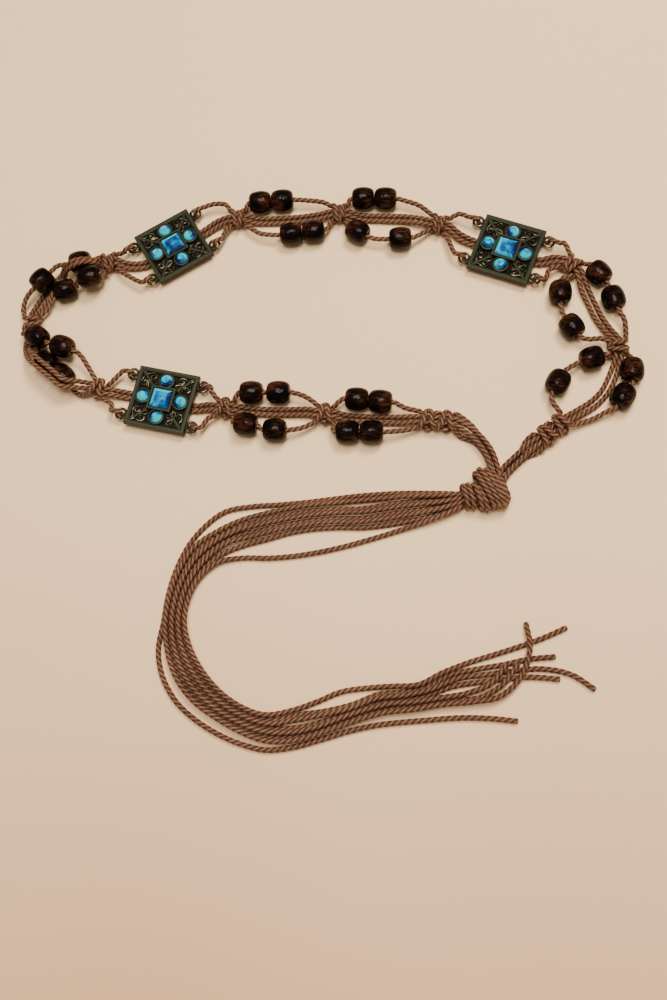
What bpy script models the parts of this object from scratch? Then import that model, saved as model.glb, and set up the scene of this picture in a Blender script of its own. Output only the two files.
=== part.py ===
"""Cord waist belt, tied closed and laid flat.

Four waxed cords run the whole way round. Two are the filler pair in the middle, two are the working pair
that carries the beads, passes through the lugs of three square plates and ties the square knots.
At both ends all four cords go into one large knot and come out of it as eight free tails.

Units are metres. The tables are in millimetres, measured on the table top, X to the right and Y away.
"""
import math

import bmesh
import bpy
from mathutils import Matrix, Vector
from mathutils.geometry import intersect_point_line

MM = 0.001
# The tables are measured from a corner mark on the table top. The belt is then centred on the origin.
LAY_CENTRE = (-9.65, 79.71)

CORD_D = 2.6
CORD_R = CORD_D / 2
CORD_PITCH = 3.05         # centre distance of two cords that lie side by side
ON_TABLE = 1.35           # height of the centre of a cord that lies on the table

BEAD_D = 11.4
BEAD_END_D = 8.2
BEAD_LENGTH = 10.8
BEAD_BORE = 3.8
BEAD_SHOULDER = 2.4       # half of the length that has the full diameter
BEAD_SIDES = 8
BEAD_LEAD = 0.7           # the cord stays straight this far past both ends of a bead

KNOT_Z = 4.2              # height of the middle of a square knot
KNOT_LIFT = 2.9           # from the fillers to the bar over or under them
KNOT_SIDE = 4.7           # from the centre line to a working cord beside the knot
KNOT_REACH = 3.9          # half of the length of a square knot, legs included
FILLER_OFFSET = 1.55
# The outer working cord in the first half of a square knot: along, to its own side and up from the middle.
# The second half mirrors it past the bend, and the inner cord takes the other side and goes under.
KNOT_STEPS = [(-KNOT_REACH, KNOT_SIDE, 0.3), (-2.7, 3.5, KNOT_LIFT), (-1.7, -3.5, KNOT_LIFT)]
KNOT_BEND = (0.0, -5.2, 0.7)

PLATE_SIZE = 31.0
PLATE_UNDER = 3.1         # height of the flat back of a plate
PLATE_FLOOR = 1.3
PLATE_RIM = 2.6
PLATE_RIM_WIDTH = 2.1
BEZEL_SIZE = 12.6
BEZEL_RISE = 4.0
CUP_D = 8.2
CUP_RISE = 3.3
CUP_OFFSET = 9.6
RIB_WIDTH = 1.5
RIB_SHORT = 5.0           # the ribs stop this much short of the plate's diagonal
RIB_RISES = (2.3, 2.15)   # the two tops never share a plane
RIB_ROOT = 0.4            # each kind of raised piece starts at its own depth inside the floor
BEZEL_ROOT = 0.5
CUP_ROOT = 0.6
LUG_OFFSET = 10.75
LUG_OUT = 2.7             # centre of a lug's hole from the edge of the plate
LUG_D = 6.4
LUG_BORE = 4.0
LUG_UNDER = 0.2           # a lug starts this far above the plate's back
LUG_THICK = 1.6
LUG_BRIDGE = 4.4          # width of the web between a lug and the plate
# A working cord at a lug: outward from the hole's centre, and up from where it would lie on the lug.
LUG_PASS = [(4.8, -0.6), (2.6, 0.15), (0.9, -0.2), (0.2, -1.8), (-0.2, -3.5)]
LUG_INSIDE = (-1.5, 0.25)  # its last point behind the plate, up from where it lies on the table
STONE_D = 6.2
STONE_RISE = 2.2
STONE_TABLE = 0.55        # share of a stone's width that its flat top takes
CENTRE_STONE = 9.4
CENTRE_STONE_RISE = 1.5
CENTRE_STONE_ROOT = 2.0
CENTRE_STONE_TABLE = 0.62

BELT_STEP = 11.0 * MM     # longest step between two points of a belt cord where it bends freely
TAIL_POINTS = 31
GAP = 0.3

# Square knots: x, y and the heading of the belt in degrees, in order round the belt.
KNOTS = {
    "k0a": (52.6, 38.3, 176), "k0b": (43.9, 38.9, 176), "k1": (-5.2, 42.0, 177), "k2": (-54.2, 45.0, 178),
    "k3": (-118.6, 55.2, 160), "k4": (-157.2, 91.0, 97), "k5": (-120.4, 125.3, 8), "k6": (-54.9, 149.6, 2),
    "k7": (-2.6, 151.6, 0), "k8": (48.1, 144.1, -14), "k9": (112.9, 119.9, -40), "k10": (133.4, 75.5, -87),
    "k11a": (105.4, 36.8, -140), "k11b": (98.7, 31.2, -140),
}

# Beads: x, y and z of the centre and the heading of the cord through it.
BEADS = {
    "a1": (17.4, 32.1, 5.8, 180), "a2": (5.9, 32.1, 5.8, 180),
    "a3": (21.2, 47.7, 5.8, 176), "a4": (9.9, 48.9, 5.8, 177),
    "b1": (-29.0, 33.0, 5.8, 179), "b2": (-43.4, 36.0, 5.8, 173),
    "b3": (-28.3, 52.4, 5.8, 180), "b4": (-41.6, 52.4, 5.8, 180),
    "c1": (-151.6, 81.2, 9.4, 148), "c2": (-137.9, 75.8, 9.4, 160),
    "c3": (-146.3, 68.6, 5.8, 142), "c4": (-137.5, 61.7, 5.8, 142),
    "d1": (-153.0, 112.7, 9.5, 50), "d2": (-141.8, 109.0, 5.8, 16),
    "d3": (-128.1, 114.1, 10.0, 14), "d4": (-135.4, 125.0, 5.8, 10),
    "e1": (-43.6, 158.0, 5.8, 4), "e2": (-32.2, 158.7, 5.8, 3),
    "e3": (-26.6, 139.2, 5.8, 4), "e4": (-15.2, 140.6, 5.8, 7),
    "f1": (9.4, 159.0, 5.8, 0), "f2": (20.8, 158.6, 5.8, -3),
    "f3": (7.2, 139.9, 5.8, -30), "f4": (28.8, 135.6, 5.8, 3),
    "g1": (125.6, 114.6, 5.8, -52), "g2": (131.9, 101.0, 5.8, -72),
    "g3": (106.9, 104.4, 5.8, -90), "g4": (111.9, 86.2, 5.8, -57),
    "h1": (139.2, 63.4, 5.8, -90), "h2": (134.4, 50.2, 5.8, -122),
    "h3": (120.8, 69.6, 5.8, -160), "h4": (104.8, 57.4, 5.8, -119),
}

# Plates: x and y of the centre and the heading of the belt through it.
PLATES = {"plate_1": (-87.4, 134.2, 32.0), "plate_2": (-86.0, 49.0, 168.6), "plate_3": (81.4, 129.1, -19.4)}

# What each cord meets from the left link to the right one. A name is a knot, a bead or a plate, and a
# tuple is a point that the cord passes, in mm.
WORK_1 = [
    "k0a", "k0b", (33, 33.4, 4.6), (27, 32.4, 5.6), "a1", "a2", "k1",
    (-15, 34.8, 5.0), "b1", (-36.4, 34.0, 5.8), "b2", "k2", (-62, 39.2, 5.2), "plate_2",
    (-111, 46.4, 4.9), "k3", (-128.4, 52.6, 2.2), (-132.6, 55.6, 3.4), "c4", "c3", (-152.2, 76.0, 2.6),
    (-152.8, 81.4, 1.9), "cross", "k4", (-149.8, 99.4, 4.6), "d2", "d3", (-121.6, 117.6, 7.0), "k5",
    (-112, 118.6, 4.8), "plate_1", (-61.5, 140.6, 5.0), "k6", (-43, 140.4, 5.0), (-37, 139.0, 5.6), "e3",
    "e4", "k7", "f3", (16.4, 135.8, 5.4), "f4", "k8", (53.4, 132.8, 5.2), "plate_3", (102, 117.2, 5.2), "k9",
    (109.4, 112.9, 5.4), "g3", (107.4, 94.8, 5.6), "g4", (119.5, 79.8, 5.2), (125.6, 80.4, 4.6), "k10", "h3",
    (112, 66.0, 5.6), "h4", (102.2, 47.6, 5.0), "k11a", "k11b",
]
WORK_2 = [
    "k0a", "k0b", (33, 44.8, 4.6), "a3", "a4", "k1", (-15, 50.4, 5.0), "b3", "b4", "k2",
    (-62, 54.2, 5.6), "plate_2", (-109, 62.0, 5.2), "k3", (-124.6, 65.8, 5.0), (-129.4, 72.4, 7.4), "c2",
    "c1", (-160.6, 84.2, 6.4), "cross", "k4", (-163.0, 98.6, 4.6), (-161.4, 104.0, 6.6), "d1",
    (-146.6, 121.6, 8.0), "d4", "k5", (-112.5, 131.0, 5.2), "plate_1", (-67.5, 157.6, 5.7),
    (-61.5, 157.4, 4.8), "k6", "e1", "e2", (-20, 158.8, 5.4), (-11, 157.8, 4.8), "k7", "f1", "f2",
    (31, 157.4, 5.2), (38, 154.8, 4.8), "k8", (58, 149.0, 5.6), "plate_3", (109.5, 131.6, 5.4), "k9", "g1",
    "g2", (136.8, 90, 5.0), "k10", "h1", "h2", (126.4, 42.6, 4.4), (120.6, 39.8, 3.2), "k11a", "k11b",
]
FILLER_1 = [
    "k0a", "k0b", (30, 37.8, 2.4), (17, 38.5, 1.4), (5, 39.2, 1.8), "k1", (-14, 42.0, 2.6),
    (-30, 42.2, 1.4), (-43, 42.8, 1.8), "k2", (-64, 44.6, 2.2), "plate_2", (-108, 51.6, 2.4), "k3",
    (-129.8, 54.4, 7.8), (-136.4, 54.3, 10.8), (-140.7, 57.6, 11.6), (-149.5, 64.5, 11.6),
    (-154.3, 68.6, 9.4), (-158.2, 74.2, 5.6), (-159.8, 79.4, 3.2), (-159.5, 83.2, 2.6), "k4",
    (-158.0, 101.0, 2.0), (-154.4, 108.6, 1.4), (-150.0, 115.4, 1.4), (-146.0, 119.2, 2.4),
    (-141.6, 120.2, 9.4), (-137.4, 121.1, 12.8), (-132.6, 122.6, 12.8), (-128.0, 124.0, 9.6), "k5",
    (-113, 126.2, 2.6), "plate_1",
    (-66, 149.6, 2.4), "k6", (-45, 151.0, 1.8), (-26, 151.4, 1.6), (-12, 152.6, 2.6), "k7", (7, 152.0, 1.7),
    (20, 151.2, 1.5), (32, 150.2, 2.2), "k8", (59, 139.6, 2.2), "plate_3", (104, 125.8, 2.2), "k9",
    (120.4, 108.8, 2.6), (123.6, 101, 1.6), (126.6, 93.6, 1.6), (130.6, 86.4, 2.4), "k10",
    (133.6, 66.4, 1.9), (131.4, 59.6, 1.4), (128.0, 53.2, 1.4), (123.0, 47.4, 1.6), (116, 42.4, 2.6),
    "k11a", "k11b",
]
FILLER_2 = [
    "k0a", "k0b", (30, 41.0, 2.4), (17, 41.5, 1.4), (5, 42.2, 1.8), "k1", (-14, 45.0, 2.6),
    (-30, 45.2, 1.4), (-43, 45.8, 1.8), "k2", (-64, 47.6, 2.2), "plate_2", (-108, 54.6, 2.4), "k3",
    (-128.8, 57.5, 8.6), (-134.5, 57.0, 12.2), (-138.7, 60.2, 13.2), (-147.5, 67.1, 13.2),
    (-151.3, 70.4, 12.2), (-154.9, 74.2, 8.2), (-156.7, 78.8, 3.6), (-156.5, 82.8, 2.5), "k4",
    (-155.0, 99.8, 1.6), (-151.4, 107.0, 1.4), (-147.4, 113.2, 1.4), (-144.3, 116.4, 2.8),
    (-140.4, 117.5, 10.0), (-136.1, 118.4, 13.6), (-131.0, 120.3, 13.9), (-126.6, 121.8, 10.4), "k5",
    (-113, 123.2, 2.6), "plate_1",
    (-65, 146.6, 2.4), "k6", (-45, 148.0, 1.8), (-26, 148.4, 1.6), (-12, 149.6, 2.6), "k7", (8, 149.0, 1.7),
    (20, 148.2, 1.5), (31, 147.2, 2.2), "k8", (58, 136.6, 2.2), "plate_3", (102, 122.4, 2.2), "k9",
    (117.2, 108.0, 2.6), (120.4, 100, 1.6), (123.4, 92.6, 1.6), (127.6, 85.4, 2.4), "k10",
    (130.6, 66.2, 1.9), (128.2, 60.2, 1.4), (125.2, 54.6, 1.4), (120.8, 49.8, 1.6), (114, 44.8, 2.6),
    "k11a", "k11b",
]

# The two short bundles between the end knots and the large knot, where the working cords close up under
# the fillers: x and y of the middle and the offset of each working cord. The left bundle starts at the
# large knot and the right one ends there.
LINK_LEFT = [(74.0, 18.6, 1.6), (72.0, 23.6, 1.6), (67.6, 29.6, 1.9), (61.6, 34.6, 3.9)]
LINK_RIGHT = [(92.4, 26.4, 3.9), (88.2, 22.4, 1.8), (84.3, 18.5, 1.6)]
LINK_FILLER_Z = 4.3
# Two working cords trade sides once, under and over the left end of the belt.
TRADED = {"work_outer": "work_inner", "work_inner": "work_outer"}

# The eight tails, seen at cuts across their bundle: origin x and y of the cut, the outward direction in
# degrees, then the distance of each tail from that origin, the outermost tail first.
TAIL_CUTS = [
    (60.2, 0.0, 90, (4.6, 3.1, 1.6, 0.1, -1.4, -2.9, -4.4, -5.9)),
    (48.0, 0.0, 90, (3.3, 1.5, -0.2, -1.9, -3.6, -5.4, -7.2, -9.4)),
    (33.0, 0.0, 90, (3.2, 0.9, -1.2, -3.6, -6.0, -8.4, -11.0, -14.4)),
    (15.0, 0.0, 90, (2.0, -0.8, -4.4, -6.6, -9.2, -11.4, -13.7, -20.3)),
    (-2.0, 0.0, 90, (-0.2, -2.6, -5.2, -7.5, -9.8, -11.9, -14.0, -25.0)),
    (-20.0, 0.0, 90, (-2.6, -5.2, -7.8, -10.3, -12.5, -14.6, -16.8, -28.2)),
    (-40.0, 0.0, 90, (-4.3, -10.4, -12.8, -15.2, -17.4, -19.8, -23.2, -29.3)),
    (-22.0, -62.0, 120, (62.5, 54.8, 52.9, 51.1, 49.3, 47.4, 44.0, 38.0)),
    (-22.0, -62.0, 140, (59.5, 56.4, 54.2, 52.2, 50.2, 48.2, 46.3, 44.4)),
    (-22.0, -62.0, 160, (55.8, 54.2, 52.6, 51.1, 49.6, 48.0, 46.5, 45.0)),
    (-22.0, -62.0, 178, (54.4, 52.9, 51.4, 49.9, 48.4, 46.9, 45.4, 43.9)),
    (-22.0, -62.0, 195, (57.3, 52.0, 50.2, 48.5, 46.7, 45.0, 43.2, 41.5)),
    (-22.0, -62.0, 215, (57.0, 51.0, 49.0, 47.1, 45.2, 43.2, 41.2, 39.3)),
    (-22.0, -62.0, 240, (54.2, 48.4, 46.8, 45.2, 43.6, 42.0, 40.4, 38.8)),
    (-25.0, 0.0, -90, (116.0, 112.2, 110.3, 108.4, 106.5, 104.7, 102.9, 101.0)),
    (-8.0, 0.0, -90, (113.0, 110.6, 108.8, 107.0, 105.2, 101.6, 99.6, 96.2)),
    (8.0, 0.0, -90, (107.6, 104.5, 102.9, 101.3, 99.8, 98.2, 96.6, 89.4)),
    (25.0, 0.0, -90, (103.4, 98.8, 97.1, 95.3, 93.6, 91.8, 90.0, 87.0)),
    (42.0, 0.0, -90, (101.3, 96.2, 94.6, 93.0, 91.3, 89.6, 87.8, 85.6)),
    (58.0, 0.0, -90, (99.5, 93.0, 91.4, 89.8, 85.4, 82.6, 79.8, 76.8)),
]
# The last stretch of each tail, past the cuts: x, y and z.
TAIL_ENDS = [
    [(70.0, -99.2, 1.4), (78.0, -99.6, 1.4), (84.8, -100.1, 1.4)],
    [(71.0, -92.2, 4.1), (80.0, -88.0, 4.3), (86.2, -80.8, 4.3), (89.3, -73.4, 4.6), (90.2, -65.6, 4.9),
     (89.4, -61.0, 3.6), (88.6, -56.8, 1.8)],
    [(69.0, -90.4, 1.6), (76.0, -86.6, 3.4), (81.6, -80.6, 4.5), (85.2, -75.2, 4.3)],
    [(68.4, -87.2, 4.0), (74.0, -83.6, 4.3), (77.8, -79.6, 4.6), (80.4, -75.4, 4.5)],
    [(72.0, -83.2, 1.4), (80.0, -82.0, 1.4), (90.0, -80.9, 1.4), (97.0, -81.0, 1.4), (103.2, -81.5, 1.4)],
    [(72.0, -80.2, 1.4), (80.0, -78.8, 1.4), (90.0, -77.7, 1.4), (98.0, -77.0, 1.4), (105.0, -78.0, 1.4),
     (112.0, -81.6, 1.4), (118.2, -85.6, 1.4)],
    [(72.0, -77.2, 1.4), (80.0, -75.4, 1.4), (88.0, -73.4, 1.4), (95.0, -72.0, 1.4), (101.4, -71.6, 1.4)],
    [(66.0, -74.6, 1.4), (74.0, -71.6, 1.4), (82.0, -68.8, 1.4), (90.0, -66.0, 1.4), (98.0, -62.6, 1.4),
     (106.6, -58.5, 1.4)],
]

# Loops of the large knot: centre x and y, heading of the long way across, half length, half height.
KNOT_LOOPS = [
    (63.7, 2.4, -68, 6.2, 4.0), (66.9, 3.4, -67, 8.4, 5.0), (70.2, 4.6, -66, 9.4, 5.6),
    (73.6, 5.2, -58, 9.4, 5.6), (76.9, 6.0, -57, 8.4, 5.0),
]
KNOT_LOOP_Z = 5.4
KNOT_LOOP_LEAN = 0.9      # the top of a loop is this far ahead of its middle
KNOT_LOOP_POINTS = 7
KNOT_LOOP_START = 13      # angle of a loop's first point in degrees, so that none lies on the table
# The bundle inside the loops: x, y, z and heading of its middle, then its half sizes.
KNOT_HEART = (71.6, 5.2, 5.2, 20.0)
KNOT_HEART_HALF = (10.2, 9.6, 6.0)
STUB_GAP = 1.0            # from a belt cord's end to the same cord inside the large knot
STUB_LENGTH = 2.5
STUB_SINK = 0.72          # the stub then goes this share of the way to the knot's middle


def place(x, y, z):
    """A point of the tables, in metres, with the belt centred on the origin."""
    return Vector(((x - LAY_CENTRE[0]) * MM, (y - LAY_CENTRE[1]) * MM, z * MM))


def turn(x, y, heading):
    """A step of x along a heading and y to the left of it."""
    c, s = math.cos(math.radians(heading)), math.sin(math.radians(heading))
    return x * c - y * s, x * s + y * c


def material(name, colour, roughness, metallic=0.0):
    """A plain finish for one kind of piece."""
    mat = bpy.data.materials.new(name)
    mat.use_nodes = True
    shader = mat.node_tree.nodes["Principled BSDF"]
    shader.inputs["Base Color"].default_value = (*colour, 1.0)
    shader.inputs["Roughness"].default_value = roughness
    shader.inputs["Metallic"].default_value = metallic
    return mat


def smooth(points, step, straight=()):
    """Points along a smooth curve through the given ones, at most a step apart.

    A stretch whose first point is named in straight stays one straight piece.
    """
    line = [2 * points[0] - points[1], *points, 2 * points[-1] - points[-2]]
    out = [points[0]]
    for k, (p0, p1, p2, p3) in enumerate(zip(line, line[1:], line[2:], line[3:])):
        if k in straight:
            out.append(p2)
            continue
        t01, t12, t23 = [max((b - a).length, 1e-6) ** 0.5 for a, b in ((p0, p1), (p1, p2), (p2, p3))]
        m1 = (p2 - p1) + t12 * ((p1 - p0) / t01 - (p2 - p0) / (t01 + t12))
        m2 = (p2 - p1) + t12 * ((p3 - p2) / t23 - (p3 - p1) / (t12 + t23))
        count = max(1, math.ceil((p2 - p1).length / step))
        for i in range(1, count + 1):
            u = i / count
            out.append((2 * u**3 - 3 * u**2 + 1) * p1 + (u**3 - 2 * u**2 + u) * m1
                       + (3 * u**2 - 2 * u**3) * p2 + (u**3 - u**2) * m2)
    return out


def spread(points, count):
    """The same line with a number of points at equal distances."""
    walk = [0.0]
    for a, b in zip(points, points[1:]):
        walk.append(walk[-1] + (b - a).length)
    out, k = [], 0
    for i in range(count):
        goal = walk[-1] * i / (count - 1)
        while k < len(points) - 2 and walk[k + 1] < goal:
            k += 1
        out.append(points[k].lerp(points[k + 1], (goal - walk[k]) / (walk[k + 1] - walk[k])))
    return out


def knot_points(name, role):
    """How one cord passes a square knot: along, to the left and up from the knot's middle."""
    x, y, heading = KNOTS[name]
    side = 1 if role.endswith("outer") else -1
    if role.startswith("filler"):
        steps = [(-KNOT_REACH, side * FILLER_OFFSET, 0.0), (KNOT_REACH, side * FILLER_OFFSET, 0.0)]
    else:
        back = [(-along, left, up) for along, left, up in reversed(KNOT_STEPS)]
        steps = [(along, side * left, side * up) for along, left, up in KNOT_STEPS + [KNOT_BEND] + back]
    points = []
    for along, left, up in steps:
        dx, dy = turn(along, left, heading)
        points.append(place(x + dx, y + dy, KNOT_Z + up))
    return points


def bead_points(name):
    """The straight stretch of cord inside a bead."""
    x, y, z, heading = BEADS[name]
    reach = BEAD_LENGTH / 2 + BEAD_LEAD
    ends = []
    for along in (-reach, reach):
        dx, dy = turn(along, 0.0, heading)
        ends.append(place(x + dx, y + dy, z))
    return ends


def plate_points(name, role):
    """Over a lug's rim, down its bore, flat behind the plate and out at the other side."""
    x, y, heading = PLATES[name]
    side = 1 if role.endswith("outer") else -1
    half = PLATE_SIZE / 2
    if role.startswith("filler"):
        left = side * FILLER_OFFSET
        out = [(half + 1.0, ON_TABLE)]
    else:
        left = side * LUG_OFFSET
        bore = half + LUG_OUT
        over = PLATE_UNDER + LUG_UNDER + LUG_THICK + CORD_R + GAP
        out = [(bore + along, over + up) for along, up in LUG_PASS]
        out.append((bore + LUG_INSIDE[0], ON_TABLE + LUG_INSIDE[1]))
    points = []
    for along, up in [(-along, up) for along, up in out] + out[::-1]:
        dx, dy = turn(along, left, heading)
        points.append(place(x + dx, y + dy, up))
    return points


def link_points(line, role, way=1):
    """One cord's lane in a link bundle, or with way -1 the lane of a bundle walked backwards."""
    side = way if role.endswith("outer") else -way
    points = []
    for i, (x, y, spread_out) in enumerate(line):
        ax, ay, _ = line[max(i - 1, 0)]
        bx, by, _ = line[min(i + 1, len(line) - 1)]
        filler = role.startswith("filler")
        left = side * (FILLER_OFFSET if filler else spread_out)
        dx, dy = turn(0.0, left, math.degrees(math.atan2(by - ay, bx - ax)))
        points.append(place(x + dx, y + dy, LINK_FILLER_Z if filler else ON_TABLE))
    return points


def belt_route(role, stops):
    """The whole route of one belt cord from its first role on, straight inside beads, knots and lugs."""
    points, straight = link_points(LINK_LEFT, role), set()
    for stop in stops:
        if stop == "cross":
            role = TRADED[role]
            run = []
        elif stop in KNOTS:
            run = knot_points(stop, role)
            straight.update(range(len(points), len(points) + len(run) - 1))
        elif stop in BEADS:
            run = bead_points(stop)
            if (run[0] - points[-1]).dot(run[1] - run[0]) > 0:
                straight.add(len(points))
            else:
                # This bead is so close to the last one that one straight stretch goes through both.
                points.pop()
                run = run[1:]
        elif stop in PLATES:
            run = plate_points(stop, role)
            straight.update(range(len(points), len(points) + len(run) - 1))
        else:
            run = [place(*stop)]
        points += run
    return smooth(points + link_points(LINK_RIGHT, role), BELT_STEP, straight)


def tail_lane(index):
    """One tail as it would lie with all its length on the table."""
    points = []
    for x, y, outward, reach in TAIL_CUTS:
        dx, dy = turn(reach[index], 0.0, outward)
        points.append(place(x + dx, y + dy, ON_TABLE))
    return smooth(points + [place(*point) for point in TAIL_ENDS[index]], 2 * MM)


def tail_route(index, lanes):
    """One tail. Every second one rises where its neighbours on the table leave it no room."""
    lane = lanes[index]
    if index % 2:
        sides = [lanes[k] for k in (index - 1, index + 1) if k < len(lanes)]
        raised = []
        for point in lane:
            near = CORD_PITCH * MM
            for side in sides:
                for a, b in zip(side, side[1:]):
                    if (a.xy - point.xy).length < 3 * near:
                        foot = intersect_point_line(point.xy, a.xy, b.xy)
                        spot = a.xy.lerp(b.xy, min(1.0, max(0.0, foot[1])))
                        near = min(near, (point.xy - spot).length)
            lift = math.sqrt((CORD_PITCH * MM) ** 2 - near**2)
            raised.append(Vector((point.x, point.y, max(point.z, ON_TABLE * MM + lift))))
        lane = raised
    return spread(lane, TAIL_POINTS)


def tube(name, points, mat, sides_level, home, closed=False):
    """A round cord along a line of points, with filled ends."""
    curve = bpy.data.curves.new(name, "CURVE")
    curve.dimensions = "3D"
    curve.bevel_depth = CORD_R * MM
    curve.bevel_resolution = sides_level
    curve.use_fill_caps = True
    spline = curve.splines.new("POLY")
    spline.points.add(len(points) - 1)
    for target, point in zip(spline.points, points):
        target.co = (*point, 1.0)
    spline.use_cyclic_u = closed
    obj = bpy.data.objects.new(name, curve)
    obj.data.materials.append(mat)
    home.objects.link(obj)
    return obj


def mesh_of(obj):
    """The evaluated mesh of an object, with its loose caps joined on, in a new object."""
    bpy.context.view_layer.update()
    graph = bpy.context.evaluated_depsgraph_get()
    mesh = bpy.data.meshes.new_from_object(obj.evaluated_get(graph))
    bm = bmesh.new()
    bm.from_mesh(mesh)
    bmesh.ops.remove_doubles(bm, verts=bm.verts, dist=1e-6)
    bm.to_mesh(mesh)
    bm.free()
    return mesh


def as_mesh(guide, home):
    """A curve object replaced by a mesh object."""
    obj = bpy.data.objects.new(guide.name + "_mesh", mesh_of(guide))
    home.objects.link(obj)
    bpy.data.objects.remove(guide)
    return obj


def solid(name, build, home):
    """An object whose mesh a bmesh function builds."""
    mesh = bpy.data.meshes.new(name)
    bm = bmesh.new()
    build(bm)
    bm.to_mesh(mesh)
    bm.free()
    obj = bpy.data.objects.new(name, mesh)
    home.objects.link(obj)
    return obj


def box(length, width, bottom, top, centre=(0.0, 0.0), heading=0.0):
    """A function that adds a box between two heights."""
    def build(bm):
        move = Matrix.Translation(Vector((*centre, (bottom + top) / 2)) * MM)
        spin = Matrix.Rotation(math.radians(heading), 4, "Z")
        size = Matrix.Diagonal((length * MM, width * MM, (top - bottom) * MM, 1.0))
        bmesh.ops.create_cube(bm, size=1.0, matrix=move @ spin @ size)
    return build


def disc(diameter, bottom, top, centre=(0.0, 0.0), sides=8, taper=1.0):
    """A function that adds an upright prism between two heights. The taper is its top width's share."""
    def build(bm):
        bmesh.ops.create_cone(bm, cap_ends=True, segments=sides, radius1=diameter / 2 * MM,
                              radius2=diameter / 2 * taper * MM, depth=(top - bottom) * MM,
                              matrix=Matrix.Translation(Vector((*centre, (bottom + top) / 2)) * MM))
    return build


def combine(obj, tools, operation):
    """Join the tools to an object or cut them from it, with exact Booleans."""
    for tool in tools:
        mod = obj.modifiers.new(operation.lower(), "BOOLEAN")
        mod.operation = operation
        mod.solver = "EXACT"
        mod.object = tool


def plate_mesh(cutters):
    """A square plate with a raised rim, ribs, stone settings and four lugs, centred on its back."""
    body = solid("plate_body", box(PLATE_SIZE, PLATE_SIZE, 0.0, PLATE_RIM), cutters)
    inside = PLATE_SIZE - 2 * PLATE_RIM_WIDTH
    well = solid("plate_well", box(inside, inside, PLATE_FLOOR, PLATE_FLOOR + PLATE_RIM), cutters)
    combine(body, [well], "DIFFERENCE")

    parts = []
    rib = PLATE_SIZE * math.sqrt(2) - RIB_SHORT
    for heading, rise in zip((45, -45), RIB_RISES):
        parts.append(solid("plate_rib", box(rib, RIB_WIDTH, RIB_ROOT, rise, heading=heading), cutters))
    parts.append(solid("plate_bezel", box(BEZEL_SIZE, BEZEL_SIZE, BEZEL_ROOT, BEZEL_RISE), cutters))
    gem = disc(CENTRE_STONE * math.sqrt(2), CENTRE_STONE_ROOT, BEZEL_RISE + CENTRE_STONE_RISE, sides=4,
               taper=CENTRE_STONE_TABLE)
    parts.append(solid("plate_gem", gem, cutters))
    parts[-1].data.transform(Matrix.Rotation(math.radians(45), 4, "Z"))
    for k in range(4):
        cup = disc(CUP_D, CUP_ROOT, CUP_RISE, turn(CUP_OFFSET, 0.0, 90 * k))
        parts.append(solid("plate_cup", cup, cutters))

    bores = []
    for side, row in ((-1, -1), (-1, 1), (1, -1), (1, 1)):
        x, y = side * (PLATE_SIZE / 2 + LUG_OUT), row * LUG_OFFSET
        lug = disc(LUG_D, LUG_UNDER, LUG_UNDER + LUG_THICK, (x, y))
        parts.append(solid("plate_lug", lug, cutters))
        # The web is 0.1 mm thinner than the lug on both faces and reaches into the plate's edge.
        web = box(LUG_OUT, LUG_BRIDGE, LUG_UNDER + 0.1, LUG_UNDER + LUG_THICK - 0.1,
                  (x - side * LUG_OUT * 0.75, y))
        parts.append(solid("plate_web", web, cutters))
        bores.append(solid("plate_bore", disc(LUG_BORE, -LUG_THICK, 2 * PLATE_RIM, (x, y)), cutters))
    combine(body, parts, "UNION")
    combine(body, bores, "DIFFERENCE")
    return mesh_of(body)


def bead_mesh(cutters):
    """A turned barrel bead with its bore along X."""
    half, bore, end, full = BEAD_LENGTH / 2, BEAD_BORE / 2, BEAD_END_D / 2, BEAD_D / 2
    profile = [(bore, half), (end, half), (full, BEAD_SHOULDER), (full, -BEAD_SHOULDER), (end, -half),
               (bore, -half)]
    mesh = bpy.data.meshes.new("bead_profile")
    mesh.from_pydata([(r * MM, 0, z * MM) for r, z in profile],
                     [(i, (i + 1) % len(profile)) for i in range(len(profile))], [])
    obj = bpy.data.objects.new("bead_profile", mesh)
    cutters.objects.link(obj)
    screw = obj.modifiers.new("turn", "SCREW")
    screw.steps = screw.render_steps = BEAD_SIDES
    screw.use_merge_vertices = True
    screw.merge_threshold = 1e-6
    screw.use_smooth_shade = True
    turned = mesh_of(obj)
    turned.transform(Matrix.Rotation(math.radians(90), 4, "Y"))
    return turned


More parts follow.
